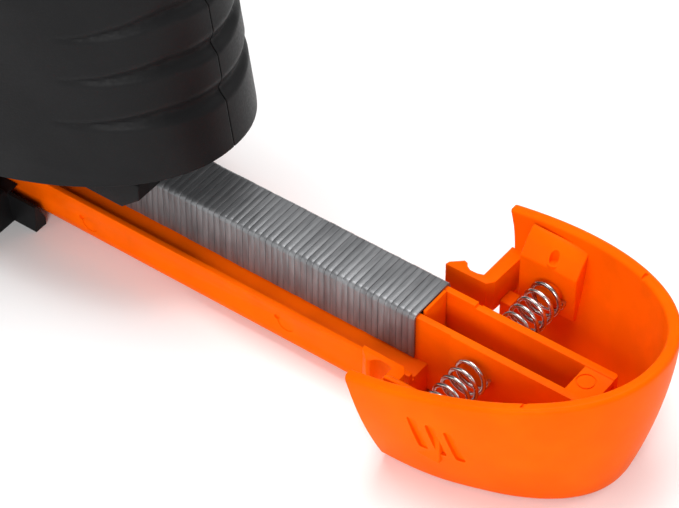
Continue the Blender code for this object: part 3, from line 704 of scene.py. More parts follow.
def groove_tree(lines):
    """Presses a groove into a skin along lines: a short lit lower flank, a long upper one."""
    tree, start, out = geometry_tree(
        "Grooves along lines",
        (
            ("Lines", "Object", None),
            ("Depth", "Float", 1.35 * MM),
            ("Lower Flank", "Float", 1.9 * MM),
            ("Upper Flank", "Float", 3.2 * MM),
            ("Taper Start", "Float", (141.0 - NOSE_X) * MM),
            ("Full Depth", "Float", (160.0 - NOSE_X) * MM),
        ),
    )
    source = add(
        tree, "GeometryNodeObjectInfo", {"transform_space": "RELATIVE"}, {"Object": start.outputs["Lines"]}
    )
    near = add(
        tree,
        "GeometryNodeProximity",
        {"target_element": "EDGES"},
        {0: source.outputs["Geometry"]},
    )
    here = add(tree, "GeometryNodeInputPosition")
    gone = add(
        tree,
        "ShaderNodeVectorMath",
        {"operation": "SUBTRACT"},
        {0: here.outputs[0], 1: near.outputs["Position"]},
    )
    up = add(tree, "ShaderNodeSeparateXYZ", links={0: gone.outputs[0]})
    above = add(tree, "ShaderNodeMath", {"operation": "GREATER_THAN"}, {0: up.outputs[2], 1: 0.0})
    width = add(
        tree,
        "ShaderNodeMix",
        {"data_type": "FLOAT"},
        {0: above.outputs[0], 2: start.outputs["Lower Flank"], 3: start.outputs["Upper Flank"]},
    )
    spot = add(tree, "ShaderNodeSeparateXYZ", links={0: near.outputs["Position"]})
    grown = add(
        tree,
        "ShaderNodeMapRange",
        {"interpolation_type": "LINEAR"},
        {
            0: spot.outputs[0],
            1: start.outputs["Taper Start"],
            2: start.outputs["Full Depth"],
            3: 0.12,
            4: 1.0,
        },
    )
    reach = add(tree, "ShaderNodeMath", {"operation": "MULTIPLY"}, {0: width.outputs[0], 1: grown.outputs[0]})
    straight = add(
        tree,
        "ShaderNodeMapRange",
        links={0: near.outputs["Distance"], 1: 0.0, 2: reach.outputs[0], 3: 1.0, 4: 0.0},
    )
    eased_in = add(
        tree,
        "ShaderNodeMapRange",
        {"interpolation_type": "SMOOTHSTEP"},
        {0: near.outputs["Distance"], 1: 0.0, 2: reach.outputs[0], 3: 1.0, 4: 0.0},
    )
    share = add(
        tree,
        "ShaderNodeMix",
        {"data_type": "FLOAT"},
        {0: above.outputs[0], 2: straight.outputs[0], 3: eased_in.outputs[0]},
    )
    depth = add(
        tree, "ShaderNodeMath", {"operation": "MULTIPLY"}, {0: share.outputs[0], 1: start.outputs["Depth"]}
    )
    taper = add(
        tree, "ShaderNodeMath", {"operation": "MULTIPLY"}, {0: depth.outputs[0], 1: grown.outputs[0]}
    )
    inward = add(tree, "ShaderNodeMath", {"operation": "MULTIPLY"}, {0: taper.outputs[0], 1: -1.0})
    normal = add(tree, "GeometryNodeInputNormal")
    move = add(
        tree,
        "ShaderNodeVectorMath",
        {"operation": "SCALE"},
        {0: normal.outputs[0], "Scale": inward.outputs[0]},
    )
    placed = add(
        tree, "GeometryNodeSetPosition", links={"Geometry": start.outputs[0], "Offset": move.outputs[0]}
    )
    end_tree(tree, out, placed.outputs[0], None)
    return tree


def build_housing():
    shell = body_solid("shell", 0.0, True)
    lines = groove_lines("groove_lines")
    run_tree(shell, groove_tree(lines), {"Lines": lines})
    bpy.data.objects.remove(lines, do_unlink=True)
    cavity = body_solid("cavity", SKIN, False)
    cut(cavity, opening_solid("opening_wall", SKIN))
    cut(cavity, cap_zone("cap_wall", SKIN + GAP))
    wall = GUIDE_HALF + 2.2
    cut(cavity, box("channel_wall", (-5.0, GUIDE_END + 3.0), (-wall, wall), (-5.0, GUIDE_TOP + 2.4)))
    for sx, sz in SCREWS:
        cut(cavity, cylinder("boss", "y", sx, sz, 3.6, -40.0, 40.0, 32))
    for side in (-1, 1):
        cut(cavity, cylinder("nose_boss", "x", side * 10.2, 33.0, 3.4, -5.0, 12.5, 24))
    cut(shell, opening_solid("opening", 0.0))
    cut(shell, cavity)
    zone = cap_zone("zone", GAP)
    cut(zone, box("stub", (0.0, STUB_END), (-STUB_HALF, STUB_HALF), (-1.0, STUB_TOP)))
    cut(shell, zone)
    for side in (-1, 1):
        # the rear feet are high outside and slope down to the tray
        slope = [(side * 12.3, STUB_TOP + 0.1), (side * 10.2, STUB_TOP + 0.1), (side * 10.2, 1.5)]
        cut(shell, prism("foot_slope", slope, "x", 112.0, STUB_END + 1.0))
    tray = TRAY_HALF + GAP
    slot = box("tray_slot", (GUIDE_FRONT - 1.0, 240.0), (-tray, tray), (-5.0, GUIDE_LOW))
    guide = GUIDE_HALF + GAP
    guide_z = (GUIDE_LOW - GAP, GUIDE_TOP + GAP)
    join(slot, box("guide_slot", (GUIDE_FRONT - GAP, GUIDE_END + GAP), (-guide, guide), guide_z))
    blade = CROWN_WIDTH / 2 + 0.9
    join(slot, box("blade_slot", (-5.0, GUIDE_FRONT + 1.0), (-blade, blade), (-5.1, 60.0)))
    cut(shell, slot)
    cut(shell, box("blade_pocket", (3.0, 8.0), (-blade, blade), (50.0, 83.0)))
    cut(shell, box("frame_pocket", (4.7, 20.0), (-11.0, 11.0), (41.7, 150.3)))
    for side in (-1, 1):
        catch_x = LATCH_TIP + HOOK_LENGTH - DRAWN_OUT + 0.15
        height = (LATCH_LOW - 1.2, LATCH_TOP + 1.4)
        pocket = sorted((side * TRAY_HALF, side * (HOOK_OUT + 2.4)))
        throat = sorted((side * TRAY_HALF, side * (HOOK_OUT - 0.9)))
        cut(shell, box("pocket", (LATCH_TIP - DRAWN_OUT - 2.0, catch_x), pocket, height))
        web_y = sorted((side * TRAY_HALF, side * (CAP_B - CAP_WALL - 1.0 + GAP)))
        web_x = (WEB_X - DRAWN_OUT - 2 * GAP, BUTT_X + EDGE_SLANT + 4.0)
        cut(shell, box("web_slot", web_x, web_y, (LATCH_LOW - 2 * GAP, LATCH_TOP + 2 * GAP)))
        cut(shell, box("throat", (catch_x - 0.5, STUB_END + 8), throat, height))
    cut(shell, box("trigger_slot", (TRIGGER_X - 4.8, TRIGGER_X + 32.0), (-6.5, 6.5), (118.0, 140.0)))
    cut(shell, cylinder("dial_hole", "z", DIAL_X, 0.0, 8.5, 150.0, 200.0, 64))
    cut(shell, box("lock_slot", (LOCK_X - 3.5, LOCK_X + 8.5), (-40.0, -8.0), (LOCK_Z - 2.3, LOCK_Z + 2.3)))
    cut(shell, cylinder("socket_hole", "x", 0.0, SOCKET_Z, 4.8, 140.0, 170.0, 40))
    cut(shell, box("lens_hole", (-5.0, 9.0), (-4.3, 4.3), (LENS_Z - 0.3, LENS_Z + 6.3)))
    for side in (-1, 1):
        cut(shell, cylinder("nose_hole", "x", side * 10.2, 33.0, 1.7, -5.0, 11.0, 24))
    cut(shell, cover_solid("recess", GAP))
    for sx, sz in SCREWS:
        head_y = local_half(sx, sz) - 3.4
        cut(shell, cylinder("screw_bore", "y", sx, sz, 1.6, -12.5, 40.0, 24))
        cut(shell, cylinder("head_bore", "y", sx, sz, 3.1, head_y - GAP, 40.0, 32))
    cut(shell, vent_slots())
    cut(shell, side_flutes())
    right = shell.copy()
    right.data = shell.data.copy()
    bpy.context.scene.collection.objects.link(right)
    cut(shell, box("keep_left", (-50.0, 260.0), (-0.12, 80.0), (-50.0, 260.0)))
    cut(right, box("keep_right", (-50.0, 260.0), (-80.0, 0.12), (-50.0, 260.0)))
    dress(shell, "left_shell", look("black"), "body", ("left_housing",), 38.0)
    dress(right, "right_shell", look("black"), "body", ("right_housing",), 38.0)


def line_of_copies(obj, name, count, step, look_name=None):
    """Repeats an object's mesh count times along a step, in millimetres."""
    tree, start, out = geometry_tree(
        name, (("Count", "Int", count), ("Step", "Vector", tuple(s * MM for s in step)))
    )
    row = add(
        tree,
        "GeometryNodeMeshLine",
        {"mode": "OFFSET"},
        {"Count": start.outputs["Count"], "Offset": start.outputs["Step"]},
    )
    row.inputs["Start Location"].default_value = (0.0, 0.0, 0.0)
    placed = add(
        tree,
        "GeometryNodeInstanceOnPoints",
        links={"Points": row.outputs[0], "Instance": start.outputs[0]},
    )
    end_tree(tree, out, placed.outputs[0], look(look_name) if look_name else None)
    return run_tree(obj, tree)


def vent_slots():
    """Five slanted slots through each side, over the motor."""
    slot = box("vent", (40.0, 42.2), (-40.0, 40.0), (38.0, 52.0))
    soften(slot, 1.0, 4)
    slanted = Matrix.Identity(4)
    slanted[0][2] = 0.35
    slot.data.transform(slanted)
    return line_of_copies(slot, "Row of vent slots", 5, (5.0, 0.0, 0.0))


def side_flutes():
    """Shallow level flutes across the nose of the body, for the second hand."""
    flute = prism("flute", circle(0.0, 0.0, 1.5, 24), "y", -40.0, 40.0)
    flute.data.transform(Matrix.Translation(metres(1.6, 0.0, 100.0) - metres(0.0, 0.0, 0.0)))
    return line_of_copies(flute, "Row of front flutes", 6, (0.0, 0.0, 7.0))


def cover_solid(name, gap):
    outer = body_solid(name, -0.02 if gap else 0.0, False)
    cut(outer, body_solid(name + "_inner", 1.4 + gap, False))
    low = 146.0 - gap
    span = [(68.0 - gap, low), (124.0 + gap, low), (124.0 + gap, 190.0), (68.0 - gap, 190.0)]
    return boolean(outer, prism(name + "_span", span, "y", -40.0, 40.0), "INTERSECT")


def build_grip_cover():
    cover = cover_solid("cover", 0.0)
    # cross grooves every 5 mm keep the palm from slipping
    groove = prism("groove", circle(76.0, 166.3, 0.9, 16), "y", -9.5, 9.5)
    cut(cover, line_of_copies(groove, "Row of palm grooves", 9, (5.0, 0.0, -0.5)))
    dress(cover, "grip_pad", look("rubber"), "body", ("grip_cover",), 38.0)


# ---------------------------------------------------------------- magazine shapes
def outer_inset(t):
    return CAP_INSET * (1 - t) ** CAP_CURVE


def cap_profile():
    """The wall's section as (inset, height) pairs, with its edges rounded."""
    foot, crown, inner = 1.1, 0.8, 0.5
    points = []
    for k in range(7):
        a = math.pi / 2 * k / 6
        z = 0.2 + foot * (1 - math.cos(a))
        points.append((outer_inset(z / RIM_Z) + foot * (1 - math.sin(a)), z))
    for k in range(1, 24):
        z = 0.2 + foot + (RIM_Z - 0.2 - foot - crown) * k / 24
        points.append((outer_inset(z / RIM_Z), z))
    for k in range(7):
        a = math.pi / 2 * k / 6
        z = RIM_Z - crown + crown * math.sin(a)
        points.append((outer_inset(z / RIM_Z) + crown * (1 - math.cos(a)), z))
    for k in range(5):
        a = math.pi / 2 * (1 - k / 4)
        z = RIM_Z - inner + inner * math.sin(a)
        points.append((CAP_WALL - inner * (1 - math.cos(a)), z))
    for k in range(1, 24):
        z = (RIM_Z - inner) * (1 - k / 23) + 0.2 * k / 23
        points.append((outer_inset(z / RIM_Z) + CAP_WALL, z))
    return points


def cap_ring(theta, profile):
    c, s = math.cos(theta), math.sin(theta)
    px, py = abs(c) ** (2 / CAP_POWER), math.copysign(abs(s) ** (2 / CAP_POWER), s)
    slant = EDGE_SLANT * eased(abs(math.degrees(theta)), 55.0, 90.0)
    ring = []
    for inset, z in profile:
        t = z / RIM_Z
        x = STRIP_END_X + (CAP_A - inset) * px
        z += RIM_SLOPE * (x - STRIP_END_X) * t
        ring.append((x + slant * max(0.0, 1 - t) ** 0.7, (CAP_B - inset) * py, z))
    return ring


def grip_bars(side):
    """Three slanted finger bars sunk into the squeeze wall."""
    bar = prism("bar", rounded(-0.85, 0.85, -3.9, 3.9, 0.5, 0.0, 5), "y", -3.0, 3.0)
    lean = Matrix.Identity(4)
    lean[0][2] = -0.24
    lean[1][2] = side * 0.24
    turn = Matrix.Rotation(math.radians(side * -11.0), 4, "Z")
    place = Matrix.Translation(metres(217.9, side * 25.75, 15.2))
    # metres() takes NOSE_X off, which is put back so that the bar leans and turns about its middle
    centred = Matrix.Translation(-metres(0.0, 0.0, 0.0))
    bar.data.transform(place @ turn @ lean @ centred)
    return line_of_copies(bar, "Row of finger bars", 3, (3.1, side * -0.8, -0.5))


def build_cap():
    profile = cap_profile()
    for name, side in (("left", -1), ("right", 1)):
        steps = 110
        rings = [cap_ring(side * math.pi / 2 * i / steps, profile) for i in range(steps + 1)]
        wall = loft(name + "_wall", rings)
        cut(wall, grip_bars(side))
        # a faint witness line in the inner rim, where two cores of the mould met
        nick_y = sorted((side * 18.6, side * 16.6))
        cut(wall, box("nick", (233.6, 234.3), nick_y, (27.3, 40.0)))
        dress(wall, name + "_cap_wall", look("orange"), None, (name + "_latch",), 40.0)
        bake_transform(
            wall,
            "magazine",
            name + "_latch",
            start=metres(238.5, side * 19.0, 12.0),
            end=metres(225.5, side * 19.0, 12.0),
        )
        build_latch_arm(name, side)
    build_cap_floor()


def build_latch_arm(name, side):
    """The arm with its barb, the web to the wall and the spring's pad, as one moulding."""
    tip, wall_y = LATCH_TIP, CAP_B - CAP_WALL - 0.9
    plan = [(tip - 0.1, LATCH_Y), (tip + 0.1, LATCH_Y + 0.8), (tip + 2.1, HOOK_OUT + 0.2)]
    plan += [(tip + 2.8, HOOK_OUT), (tip + 3.3, LATCH_Y + 1.7), (tip + 4.2, LATCH_Y + 1.25)]
    plan += [(tip + 5.6, LATCH_Y + 1.3), (WEB_X - 0.1, LATCH_Y + 1.7), (WEB_X, wall_y)]
    plan += [(WEB_X + 2.9, wall_y), (WEB_X + 2.7, 20.3), (WEB_X + 2.4, LATCH_Y + 1.4)]
    plan += [(WEB_X + 1.4, LATCH_Y + 0.1)]
    arm = prism("arm", [(x, side * y) for x, y in plan], "z", LATCH_LOW, LATCH_TOP)
    # the lower front of the web follows the slant of the wall's edge
    slant = [(WEB_X - 3.0, LATCH_LOW - 1.0), (WEB_X + 1.7, LATCH_LOW - 1.0), (WEB_X + 1.7, LATCH_LOW)]
    slant += [(WEB_X + 0.3, LATCH_TOP - 0.6), (WEB_X - 3.0, LATCH_TOP - 0.6)]
    cut(arm, prism("slant", slant, "y", *sorted((side * 18.4, side * 30.0))))
    # cores draw out of the web's front, under the top skin
    for low_y, high_y in ((14.4, 15.8), (16.6, 18.0)):
        core_y = sorted((side * low_y, side * high_y))
        cut(arm, box("core", (WEB_X - 1.0, WEB_X + 1.5), core_y, (LATCH_LOW + 0.9, LATCH_TOP - 0.8)))
    # a skirt below the web closes the corner between the wall's edge and the cap's floor
    inner, outer = FLOOR_HALF + 2.0, CAP_B - CAP_INSET - 1.4
    skirt_x, skirt_z = (WEB_X + 2.6, WEB_X + 4.8), (1.6, LATCH_LOW + 1.2)
    join(arm, box("skirt", skirt_x, sorted((side * inner, side * outer)), skirt_z))
    soften(arm, 0.16, 2)
    dress(arm, name + "_latch_arm", look("orange"), name + "_latch")
    low, front, back = LATCH_SPRING_Z - 4.5, side * PAD_Y, side * wall_y
    outline = [(front, low), (front, PAD_TOP - 0.5), (side * 19.7, PAD_TOP + 1.9)]
    outline += [(side * 21.4, PAD_TOP + 3.6), (back, PAD_TOP + 3.8), (back, low)]
    pad = prism("pad", outline, "x", PAD_X0, PAD_X1)
    soften(pad, 0.3, 3)
    # the round sink left by an ejector pin, and the peg that keeps the spring in place
    join(pad, cylinder("eject", "z", 215.6, side * (PAD_Y + 1.35), 1.35, PAD_TOP - 1.6, PAD_TOP + 0.3))
    cut(pad, cylinder("sink", "z", 215.6, side * (PAD_Y + 1.3), 0.85, PAD_TOP + 0.1, PAD_TOP + 3.0))
    seat = turned(
        "seat", "y", LATCH_SPRING_X, LATCH_SPRING_Z,
        [(2.1, side * (PAD_Y + 0.5)), (2.1, side * (PAD_Y - 1.6)), (1.6, side * (PAD_Y - 2.2))],
        32,
    )
    join(pad, faced_out(seat))
    dress(pad, name + "_spring_pad", look("orange"), name + "_latch")


def build_cap_floor():
    a, b = CAP_A - CAP_INSET - 0.7, CAP_B - CAP_INSET - 0.7
    step_x, tongue = STUB_END + DRAWN_OUT + 2 * GAP, TRAY_HALF - 0.1
    outline = [(STRIP_END_X + 3.4, -tongue), (step_x, -tongue), (step_x, -FLOOR_HALF)]
    first = math.radians(-47.0)
    for i in range(61):
        t = first - 2 * first * i / 60
        c, s = math.cos(t), math.sin(t)
        px, py = abs(c) ** (2 / CAP_POWER), math.copysign(abs(s) ** (2 / CAP_POWER), s)
        outline.append((STRIP_END_X + a * px, b * py))
    outline += [(step_x, FLOOR_HALF), (step_x, tongue), (STRIP_END_X + 3.4, tongue)]
    floor = prism("floor", outline, "z", 0.5, 2.2)
    # two shallow ribs stiffen the floor beside the rail
    for side in (-1, 1):
        rib = box("rib", (212.0, 240.0), sorted((side * 7.0, side * 7.9)), (1.5, 3.0))
        join(floor, rib)
    soften(floor, 0.2, 2)
    dress(floor, "cap_floor", look("orange"), "magazine", ("magazine_cap",))


def build_tray():
    corner = 3.0
    side = []
    for k in range(9):
        a = math.pi / 2 * k / 8
        side.append((TRAY_HALF - corner + corner * math.sin(a), TRAY_BOTTOM + corner * (1 - math.cos(a))))
    rail_top = CROWN_Z - WIRE - 0.2
    # a fine groove runs inside the top lip, then the ledge that the strip's legs pass over
    side += [(TRAY_HALF, TRAY_TOP), (LEDGE_Y + 0.35, TRAY_TOP), (LEDGE_Y + 0.2, LEDGE_Z - 0.55)]
    side += [(LEDGE_Y - 0.2, LEDGE_Z - 0.55), (LEDGE_Y - 0.3, LEDGE_Z)]
    side += [(RAIL_OUT, LEDGE_Z), (RAIL_OUT, rail_top), (RAIL_IN, rail_top), (RAIL_IN, RAIL_FLOOR)]
    profile = side + [(-y, z) for y, z in reversed(side)]
    tray = prism("tray", profile, "x", TRAY_FRONT, WEB_X + 1.0)
    # round ejector marks in the outer wall, each with a small sink beside it
    for x, z in ((180.6, 7.2), (137.0, 6.0), (112.0, 6.6)):
        for s in (-1, 1):
            face = sorted((s * (TRAY_HALF - 0.16), s * (TRAY_HALF + 1.0)))
            mark = cylinder("mark", "y", x, z, 1.9, *face, 40)
            cut(mark, cylinder("inner", "y", x, z, 1.65, *[v * 1.5 for v in face], 40))
            cut(tray, mark)
            face = sorted((s * (TRAY_HALF - 0.4), s * (TRAY_HALF + 1.0)))
            cut(tray, cylinder("sink", "y", x - 2.0, z + 0.3, 0.55, *face, 20))
    rail = [(RAIL_OUT, RAIL_FLOOR - 0.4), (RAIL_OUT, rail_top), (RAIL_IN, rail_top)]
    rail += [(RAIL_IN, RAIL_FLOOR + 1.2)]
    rail = rail + [(-y, z) for y, z in reversed(rail)]
    back = prism("rail_back", rail, "x", WEB_X - 1.0, RAIL_END)
    # beyond the strip the walls are a little thicker outside and lower on the right
    for s in (-1, 1):
        face = sorted((s * (RAIL_OUT - 0.3), s * (RAIL_OUT + 0.22)))
        join(back, box("cheek", (211.0, RAIL_END - 0.3), face, (RAIL_FLOOR, rail_top - 0.02)))
    cut(back, box("lower", (210.3, RAIL_END + 1.0), (RAIL_IN - 0.5, RAIL_OUT + 1.0), (rail_top - 0.6, 30.0)))
    # the bridge sits a little below the rails, with a narrow shelf running forward from it
    half, deck = RAIL_OUT - 0.4, rail_top - 0.75
    join(back, box("bridge", (BRIDGE_START + 3.4, RAIL_END - 0.02), (-half, half), (rail_top - 1.9, deck)))
    shelf_x, shelf_z = (BRIDGE_START, BRIDGE_START + 4.0), (rail_top - 1.8, deck - 0.1)
    join(back, box("shelf", shelf_x, (-half, -RAIL_IN + 0.7), shelf_z))
    join(tray, back)
    soften(tray, 0.14, 2, 28.0)
    # the ejector's round mark on the bridge
    disc = cylinder("disc", "z", 234.4, 0.5, 1.75, deck - 0.2, rail_top + 0.3, 48)
    cut(disc, cylinder("hollow", "z", 234.4, 0.5, 1.45, rail_top - 2.0, rail_top + 1.0, 48))
    cut(tray, disc)
    dress(tray, "magazine_rail_tray", look("orange"), "magazine", ("magazine_tray",))


def build_staples():
    """One staple bent from flat wire, then repeated along the strip with slight unevenness."""
    values = bpy.context.scene.staple_gun_sizes
    pitch, count, width = values.staple_pitch / MM, values.staple_count, values.wire_width / MM
    half, bend = CROWN_WIDTH / 2 - WIRE / 2, 0.75
    crown = CROWN_Z - WIRE / 2
    foot = CROWN_Z - LEG_LENGTH
    path = [(-half, foot, 90.0, 0.35), (-half, foot + 0.9, 90.0, 1.0)]
    path += [(-half, foot + 3.0, 90.0, 1.0), (-half, crown - bend - 0.01, 90.0, 1.0)]
    for k in range(6):
        a = 180.0 - 90.0 * k / 5
        c, s = math.cos(math.radians(a)), math.sin(math.radians(a))
        path.append((-half + bend + bend * c, crown - bend + bend * s, a - 90.0, 1.0))
    path += [(-y, z, -t, share) for y, z, t, share in reversed(path)]
    thick, corner = WIRE / 2, 0.08
    section = []
    for cx, cz, first in ((1, 1, 0), (-1, 1, 90), (-1, -1, 180), (1, -1, 270)):
        for k in range(3):
            a = math.radians(first + 45 * k)
            across = cx * (width / 2 - corner) + corner * math.cos(a)
            section.append((across, cz * (thick - corner) + corner * math.sin(a)))
    rings = []
    for y, z, turn, share in path:
        c, s = math.cos(math.radians(turn)), math.sin(math.radians(turn))
        rings.append(
            [(STRIP_END_X - pitch / 2 + u, y - v * share * s, z + v * share * c) for u, v in section]
        )
    staple = loft("staple", rings)
    tree, start, out = geometry_tree(
        "Strip of staples",
        (("Count", "Int", count), ("Pitch", "Float", pitch * MM), ("Unevenness", "Float", 0.035 * MM)),
    )
    back = add(
        tree, "ShaderNodeMath", {"operation": "MULTIPLY"}, {0: start.outputs["Pitch"], 1: -1.0}
    )
    step = add(tree, "ShaderNodeCombineXYZ", links={0: back.outputs[0]})
    row = add(
        tree,
        "GeometryNodeMeshLine",
        {"mode": "OFFSET"},
        {"Count": start.outputs["Count"], "Offset": step.outputs[0]},
    )
    jog = add(
        tree,
        "FunctionNodeRandomValue",
        {"data_type": "FLOAT_VECTOR"},
        {"Min": (-0.3, -1.0, -1.0), "Max": (0.3, 1.0, 1.0), "Seed": 7},
    )
    small = add(
        tree,
        "ShaderNodeVectorMath",
        {"operation": "SCALE"},
        {0: jog.outputs[0], "Scale": start.outputs["Unevenness"]},
    )
    loose = add(
        tree,
        "GeometryNodeSetPosition",
        links={"Geometry": row.outputs[0], "Offset": small.outputs[0]},
    )
    placed = add(
        tree,
        "GeometryNodeInstanceOnPoints",
        links={"Points": loose.outputs[0], "Instance": start.outputs[0]},
    )
    end_tree(tree, out, placed.outputs[0], look("staple"))
    run_tree(staple, tree)
    dress(staple, "staple_row", None, "staples", ("staple_strip",), 34.0)


# ---------------------------------------------------------------- springs
def coil_tree(look_name):
    """A compression spring along Z from the origin, its end turns closed up."""
    tree, start, out = geometry_tree(
        "Compression spring",
        (
            ("Mean Radius", "Float", 3.0 * MM),
            ("Wire Radius", "Float", 0.37 * MM),
            ("Length", "Float", 12.0 * MM),
            ("Turns", "Float", 6.0),
            ("Closed Turns", "Float", 0.7),
        ),
    )
    helix = add(
        tree,
        "GeometryNodeCurveSpiral",
        links={
            "Resolution": 40,
            "Rotations": start.outputs["Turns"],
            "Start Radius": start.outputs["Mean Radius"],
            "End Radius": start.outputs["Mean Radius"],
            "Height": 0.0,
        },
    )
    share = add(tree, "GeometryNodeSplineParameter").outputs["Factor"]
    end = add(
        tree,
        "ShaderNodeMath",
        {"operation": "DIVIDE"},
        {0: start.outputs["Closed Turns"], 1: start.outputs["Turns"]},
    )
    rest = add(tree, "ShaderNodeMath", {"operation": "SUBTRACT"}, {0: 1.0, 1: end.outputs[0]})
    tight = add(
        tree, "ShaderNodeMath", {"operation": "MULTIPLY"}, {0: start.outputs["Wire Radius"], 1: 2.05}
    )
    low = add(
        tree,
        "ShaderNodeMapRange",
        links={0: share, 1: 0.0, 2: end.outputs[0], 3: 0.0, 4: tight.outputs[0]},
    )
    high = add(
        tree,
        "ShaderNodeMapRange",
        links={0: share, 1: rest.outputs[0], 2: 1.0, 3: 0.0, 4: tight.outputs[0]},
    )
    open_length = add(
        tree,
        "ShaderNodeMath",
        {"operation": "MULTIPLY_ADD"},
        {0: tight.outputs[0], 1: -3.0, 2: start.outputs["Length"]},
    )
    middle = add(
        tree,
        "ShaderNodeMapRange",
        links={0: share, 1: end.outputs[0], 2: rest.outputs[0], 3: 0.0, 4: open_length.outputs[0]},
    )
    two = add(tree, "ShaderNodeMath", {"operation": "ADD"}, {0: low.outputs[0], 1: high.outputs[0]})
    three = add(tree, "ShaderNodeMath", {"operation": "ADD"}, {0: two.outputs[0], 1: middle.outputs[0]})
    height = add(
        tree, "ShaderNodeMath", {"operation": "ADD"}, {0: three.outputs[0], 1: start.outputs["Wire Radius"]}
    )
    lift = add(tree, "ShaderNodeCombineXYZ", links={2: height.outputs[0]})
    raised = add(
        tree,
        "GeometryNodeSetPosition",
        links={"Geometry": helix.outputs[0], "Offset": lift.outputs[0]},
    )
    wire = add(
        tree,
        "GeometryNodeCurvePrimitiveCircle",
        links={"Resolution": 12, "Radius": start.outputs["Wire Radius"]},
    )
    swept = add(
        tree,
        "GeometryNodeCurveToMesh",
        links={"Curve": raised.outputs[0], "Profile Curve": wire.outputs[0], "Fill Caps": True},
    )
    end_tree(tree, out, swept.outputs[0], look(look_name))
    return tree


def spring(name, look_name, radius, wire, turns, base, direction):
    """A spring from base towards direction, whose length is the direction's own."""
    obj = empty_mesh(name)
    run_tree(
        obj,
        coil_tree(look_name),
        {
            "Mean Radius": radius * MM,
            "Wire Radius": wire * MM,
            "Length": Vector(direction).length * MM,
            "Turns": float(turns),
        },
    )
    turn = Vector((0, 0, 1)).rotation_difference(Vector(direction)).to_matrix().to_4x4()
    obj.data.transform(Matrix.Translation(metres(*base)) @ turn)
    return faced_out(obj)


def build_springs():
    for name, side in (("left", -1), ("right", 1)):
        y0, y1 = RAIL_OUT + GAP, PAD_Y - GAP
        made = spring(
            name + "_coil", "spring", 3.0, 0.41, 6.0,
            (LATCH_SPRING_X, side * y0, LATCH_SPRING_Z), (0.0, side * (y1 - y0), 0.0),
        )
        node = name + "_latch_spring"
        dress(made, node + "_wire", None, "magazine", (node,), 60.0)
        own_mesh(made)
    push = spring("push", "dark spring", 2.2, 0.35, 9.0, (205.2, 0.0, 7.5), (23.4, 0.0, 0.0))
    dress(push, "pusher_spring_wire", None, None, ("pusher_spring",), 60.0)
    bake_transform(push, "magazine", "pusher", start=metres(228.6, 0.0, 7.5), end=metres(205.2, 0.0, 7.5))
    drive = spring("drive", "dark spring", 4.3, 0.7, 11.0, (10.3, 0.0, 84.3), (0.0, 0.0, 57.4))
    dress(drive, "drive_spring_wire", None, "body", ("drive_spring",), 60.0)
    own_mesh(drive)
    back = spring("back", "spring", 2.4, 0.3, 6.0, (85.0, 0.0, 134.9), (0.0, 0.0, 9.7))
    dress(back, "trigger_spring_wire", None, "body", ("trigger_spring",), 60.0)
    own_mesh(back)


# ---------------------------------------------------------------- nose, guide and drive
def build_guide():
    outline = [(GUIDE_FRONT, GUIDE_LOW), (GUIDE_END - 4.0, GUIDE_LOW), (GUIDE_END, GUIDE_LOW + 3.6)]
    outline += [(GUIDE_END, GUIDE_TOP), (GUIDE_FRONT, GUIDE_TOP)]
    guide = prism("guide", outline, "y", -GUIDE_HALF, GUIDE_HALF)
    slot = CROWN_WIDTH / 2 + 0.6
    cut(guide, box("guide_cut", (-5.0, 200.0), (-slot, slot), (-5.0, CROWN_Z + 0.9)))
    # lead-in slants steer the strip under the guide
    lead = [(GUIDE_END - 3.0, CROWN_Z + 0.8), (GUIDE_END + 1.0, CROWN_Z + 2.4), (GUIDE_END + 1.0, CROWN_Z)]
    cut(guide, prism("lead", lead, "y", -slot, slot))
    soften(guide, 0.35, 3)
    dress(guide, "strip_guide", look("black"), "body", ("staple_guide",))


def build_nose():
    plate = box("plate", (NOSE_X - 0.9, NOSE_X + 0.9), (-13.5, 13.5), (0.0, 60.0))
    cut(plate, prism("window", rounded(-3.0, 3.0, 40.0, 52.0, 2.9), "x", -5.0, 5.0))
    for side in (-1, 1):
        cut(plate, cylinder("hole", "x", side * 10.2, 33.0, 1.7, -5.0, 5.0, 32))
        corner = [(side * 13.6, 60.1), (side * 9.0, 60.1), (side * 13.6, 53.0)]
        cut(plate, prism("corner", corner, "x", -5.0, 5.0))
        foot = [(side * 13.6, -0.1), (side * 8.6, -0.1), (side * 13.6, 6.0)]
        cut(plate, prism("foot", foot, "x", -5.0, 5.0))
    # a score line at the middle shows where the staple leaves
    for z in (8.0, 12.0):
        cut(plate, box("score", (-1.0, 0.35), (-0.25, 0.25), (z, z + 2.4)))
    soften(plate, 0.25, 3)
    dress(plate, "nose_strike_plate", look("ground"), "body", ("nose_plate",))
    for side in (-1, 1):
        name = "nose_screw_left" if side < 0 else "nose_screw_right"
        made = screw(name, "x", side * 10.2, 33.0, -1.5, 1.4, 2.7, 1.35, 10.0, 1)
        dress(made, name + "_fine", look("blackened"), "body", (name,))


